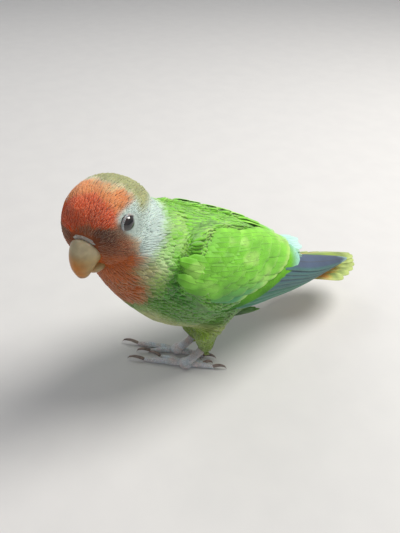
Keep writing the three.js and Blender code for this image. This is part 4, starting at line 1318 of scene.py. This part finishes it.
def toeForm(side, plan, units):
    ahead = toeAim(side, plan["heading"])
    shares = np.array([0, 0.34, 0.67, 1])
    points = legPoints(side)[0] + ahead * (shares * plan["length"])[:, None]
    points[:, 2] = plan["thick"] * (1.05 - 0.22 * shares) + 0.5 * np.sin(np.pi * shares)
    share = 0.5 + 0.5 * units[:, 1]
    across, up = roundOf(units)
    # scutes lie on the upper side alone, whatever the toe's closing end does
    upper = ramp(-0.2, 0.5, units[:, 2] / np.maximum(np.hypot(units[:, 0], units[:, 2]), 1e-6))
    scutes = 0.05 * np.abs(np.sin(share * plan["length"] * np.pi / 1.15)) ** 0.6 * upper
    radius = plan["thick"] * (1 - 0.28 * share) * (1 + 0.084 * np.cos(6 * np.pi * share) + scutes)
    result = smoothPath(points, share) + np.array([-ahead[1], ahead[0], 0]) * (across * radius)[:, None]
    result[:, 2] += up * radius
    return result


def clawForm(side, plan, units):
    ahead = toeAim(side, plan["heading"])
    root = legPoints(side)[0] + ahead * (plan["length"] - 1.2)
    root[2] = plan["thick"] * 0.85
    reach, rise, radius = through(clawRows, 0.5 + 0.5 * units[:, 1]).T
    across, up = roundOf(units)
    result = (root + ahead * (reach * (plan["claw"] + 0.6))[:, None]
              + np.array([-ahead[1], ahead[0], 0]) * (across * radius * 0.8)[:, None])
    result[:, 2] += rise + up * radius
    return result


def makeFeet():
    skinMaterial, clawMaterial = bareSkinFinish("footSkin", 1300.0), hornFinish("clawHorn")
    pieces = {}
    for word, side in sides.items():
        pad, heel, _ = legPoints(side)
        shank = rounded(28, 60, lambda u: limbForm(
            [heel + [0, 0.4, 1.6], heel * 0.55 + pad * 0.45, pad], [2.0, 1.65, 2.1], u,
            lambda share: 0.07 * np.abs(np.sin(share * np.pi * 10)) ** 0.6))
        sole = rounded(32, 20, lambda u: pad + u * foot["sole"])
        toeForms = [rounded(24, 72, lambda u: toeForm(side, plan, u)) for plan in toes]
        points, faces = gather([shank, sole] + toeForms)
        points[:, 2] = np.maximum(points[:, 2] - foot["flat"], 0)
        skinPiece = makePiece("foot_skin_" + word, points, faces, skinMaterial)
        # painted shade: browner higher up the shank, under the belly
        paint(skinPiece, layered(feetColours, "skin", len(points), [
            (0.5 + 0.5 * softNoise(points, 4, 91), "pink"), (ramp(4, 9, points[:, 2]) * 0.5, "shank")]))
        points, faces = gather([rounded(16, 28, lambda u: clawForm(side, plan, u)) for plan in toes])
        points[:, 2] = np.maximum(points[:, 2] - foot["clawFlat"], foot["clawRise"])
        claws = makePiece("claws_" + word, points, faces, clawMaterial)
        dark = 0.5 + 0.5 * softNoise(points, 3, 92)
        paint(claws, layered(feetColours, "claw", len(points), [(dark, "clawDark")]))
        pieces[word] = (skinPiece, claws)
    return pieces


feet = makeFeet()
print("feet made")

# Every piece rides on the one body, and stands for its solids
flesh = ["head", "neck", "torso", "thigh_left", "thigh_right"]


def carry(piece, slotName, *nodes):
    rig.ride(piece, "root")
    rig.slot(piece, slotName)
    if nodes:
        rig.replaces(piece, *nodes)


carry(bodySkin, "plumage", *flesh)
for piece in coats:
    carry(piece, "plumage")
for word in sides:
    carry(wingPieces[word], "wing_feathers", "wing_" + word)
    carry(eyes[word][0], "eyes", "eye_" + word)
    carry(eyes[word][1], "cere")
    carry(feet[word][0], "feet", "foot_" + word)
    carry(feet[word][1], "claws", *[f"claw_{word}_{plan['name']}" for plan in toes])
carry(tailPiece, "tail_feathers", "tail")
carry(beakUpper, "beak", "beak_upper")
carry(beakLower, "beak", "beak_lower")
carry(cereSkin, "cere", "cere")

# Floor, light and camera; picture, centre and focal length in pixels
studio = dict(azimuth=53.4, elevation=34.2, roll=1.7, distance=250, focal=590, centre=(217.5, 260.4),
              picture=(400, 533), sensor=36, target=(0, 12, 50), floor=shade(214, 212, 210), floorSize=1.6,
              world=0.37, heart=(0, 0, 0.05))
lamps = dict(
    keyLight=dict(aim=(0.25, 0.8, 1.25), distance=0.8, size=0.5, power=7.4, colour=(1.0, 0.98, 0.94)),
    fillLight=dict(aim=(0.9, -1.0, 0.9), distance=1.0, size=0.8, power=0.6, colour=(0.94, 0.97, 1.0)),
    rimLight=dict(aim=(-1.0, -0.2, 1.0), distance=0.9, size=0.5, power=1.2, colour=(1.0, 1.0, 1.0)))


def makeStage():
    f = Finish("paleFloor", Roughness=0.8, Specular_IOR_Level=0.2)
    grain = f.spread(f.noise(60.0, 3.0), 0.35, 0.65)
    f.feed("Base Color", f.mix(grain * 0.3, studio["floor"], shade(206, 204, 203)))
    size = studio["floorSize"]
    mesh = bpy.data.meshes.new("paleFloor")
    corners = [(x * size, y * size, 0) for x, y in ((-1, -1), (1, -1), (1, 1), (-1, 1))]
    mesh.from_pydata(corners, [], [(0, 1, 2, 3)])
    mesh.materials.append(f.material)
    floor = bpy.data.objects.new("paleFloor", mesh)
    scene.collection.objects.link(floor)
    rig.stage(floor)
    scene.world = bpy.data.worlds.new("softRoom")
    scene.world.use_nodes = True
    room = scene.world.node_tree.nodes["Background"].inputs
    room["Color"].default_value, room["Strength"].default_value = shade(236, 240, 246), studio["world"]


def makeCamera():
    a, e, r = (math.radians(studio[key]) for key in ("azimuth", "elevation", "roll"))
    back = np.array([math.sin(a) * math.cos(e), -math.cos(a) * math.cos(e), math.sin(e)])
    level = np.array([math.cos(a), math.sin(a), 0.0])
    over = np.cross(back, level)
    right, up = level * math.cos(r) + over * math.sin(r), over * math.cos(r) - level * math.sin(r)
    # turned a little so that the framing needs no lens shift
    offRight = (studio["centre"][0] - studio["picture"][0] / 2) / studio["focal"]
    offUp = (studio["picture"][1] / 2 - studio["centre"][1]) / studio["focal"]
    aim = unit(-back - right * offRight - up * offUp)
    side = unit(np.cross(aim, up))
    turn = np.eye(4)
    turn[:3, 0], turn[:3, 1], turn[:3, 2] = side, np.cross(side, aim), -aim
    turn[:3, 3] = (np.array(studio["target"], float) + back * studio["distance"] + shift) * mm
    camera = bpy.data.objects.new("camera", bpy.data.cameras.new("camera"))
    camera.data.sensor_fit, camera.data.sensor_height = "VERTICAL", studio["sensor"]
    camera.data.lens = studio["focal"] * studio["sensor"] / studio["picture"][1]
    camera.data.clip_start = 0.01
    camera.matrix_world = Matrix(turn.tolist())
    scene.collection.objects.link(camera)
    scene.camera = camera


def makeLight(name, aim, distance, size, power, colour):
    light = bpy.data.lights.new(name, "AREA")
    light.shape, light.size, light.energy, light.color = "DISK", size, power, colour
    lamp = bpy.data.objects.new(name, light)
    heart = Vector(studio["heart"])
    lamp.location = Vector(unit(aim) * distance) + heart
    lamp.rotation_euler = (heart - lamp.location).to_track_quat("-Z", "Y").to_euler()
    scene.collection.objects.link(lamp)


makeStage()
makeCamera()
for name, plan in lamps.items():
    makeLight(name, **plan)
print("stage set")

with open("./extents.json", "w") as sizeFile:
    sizeFile.write(__import__("json").dumps({"cad": [list(corner) for corner in cadBox],
                                             "visual": [list(corner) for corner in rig.bounds()]}))
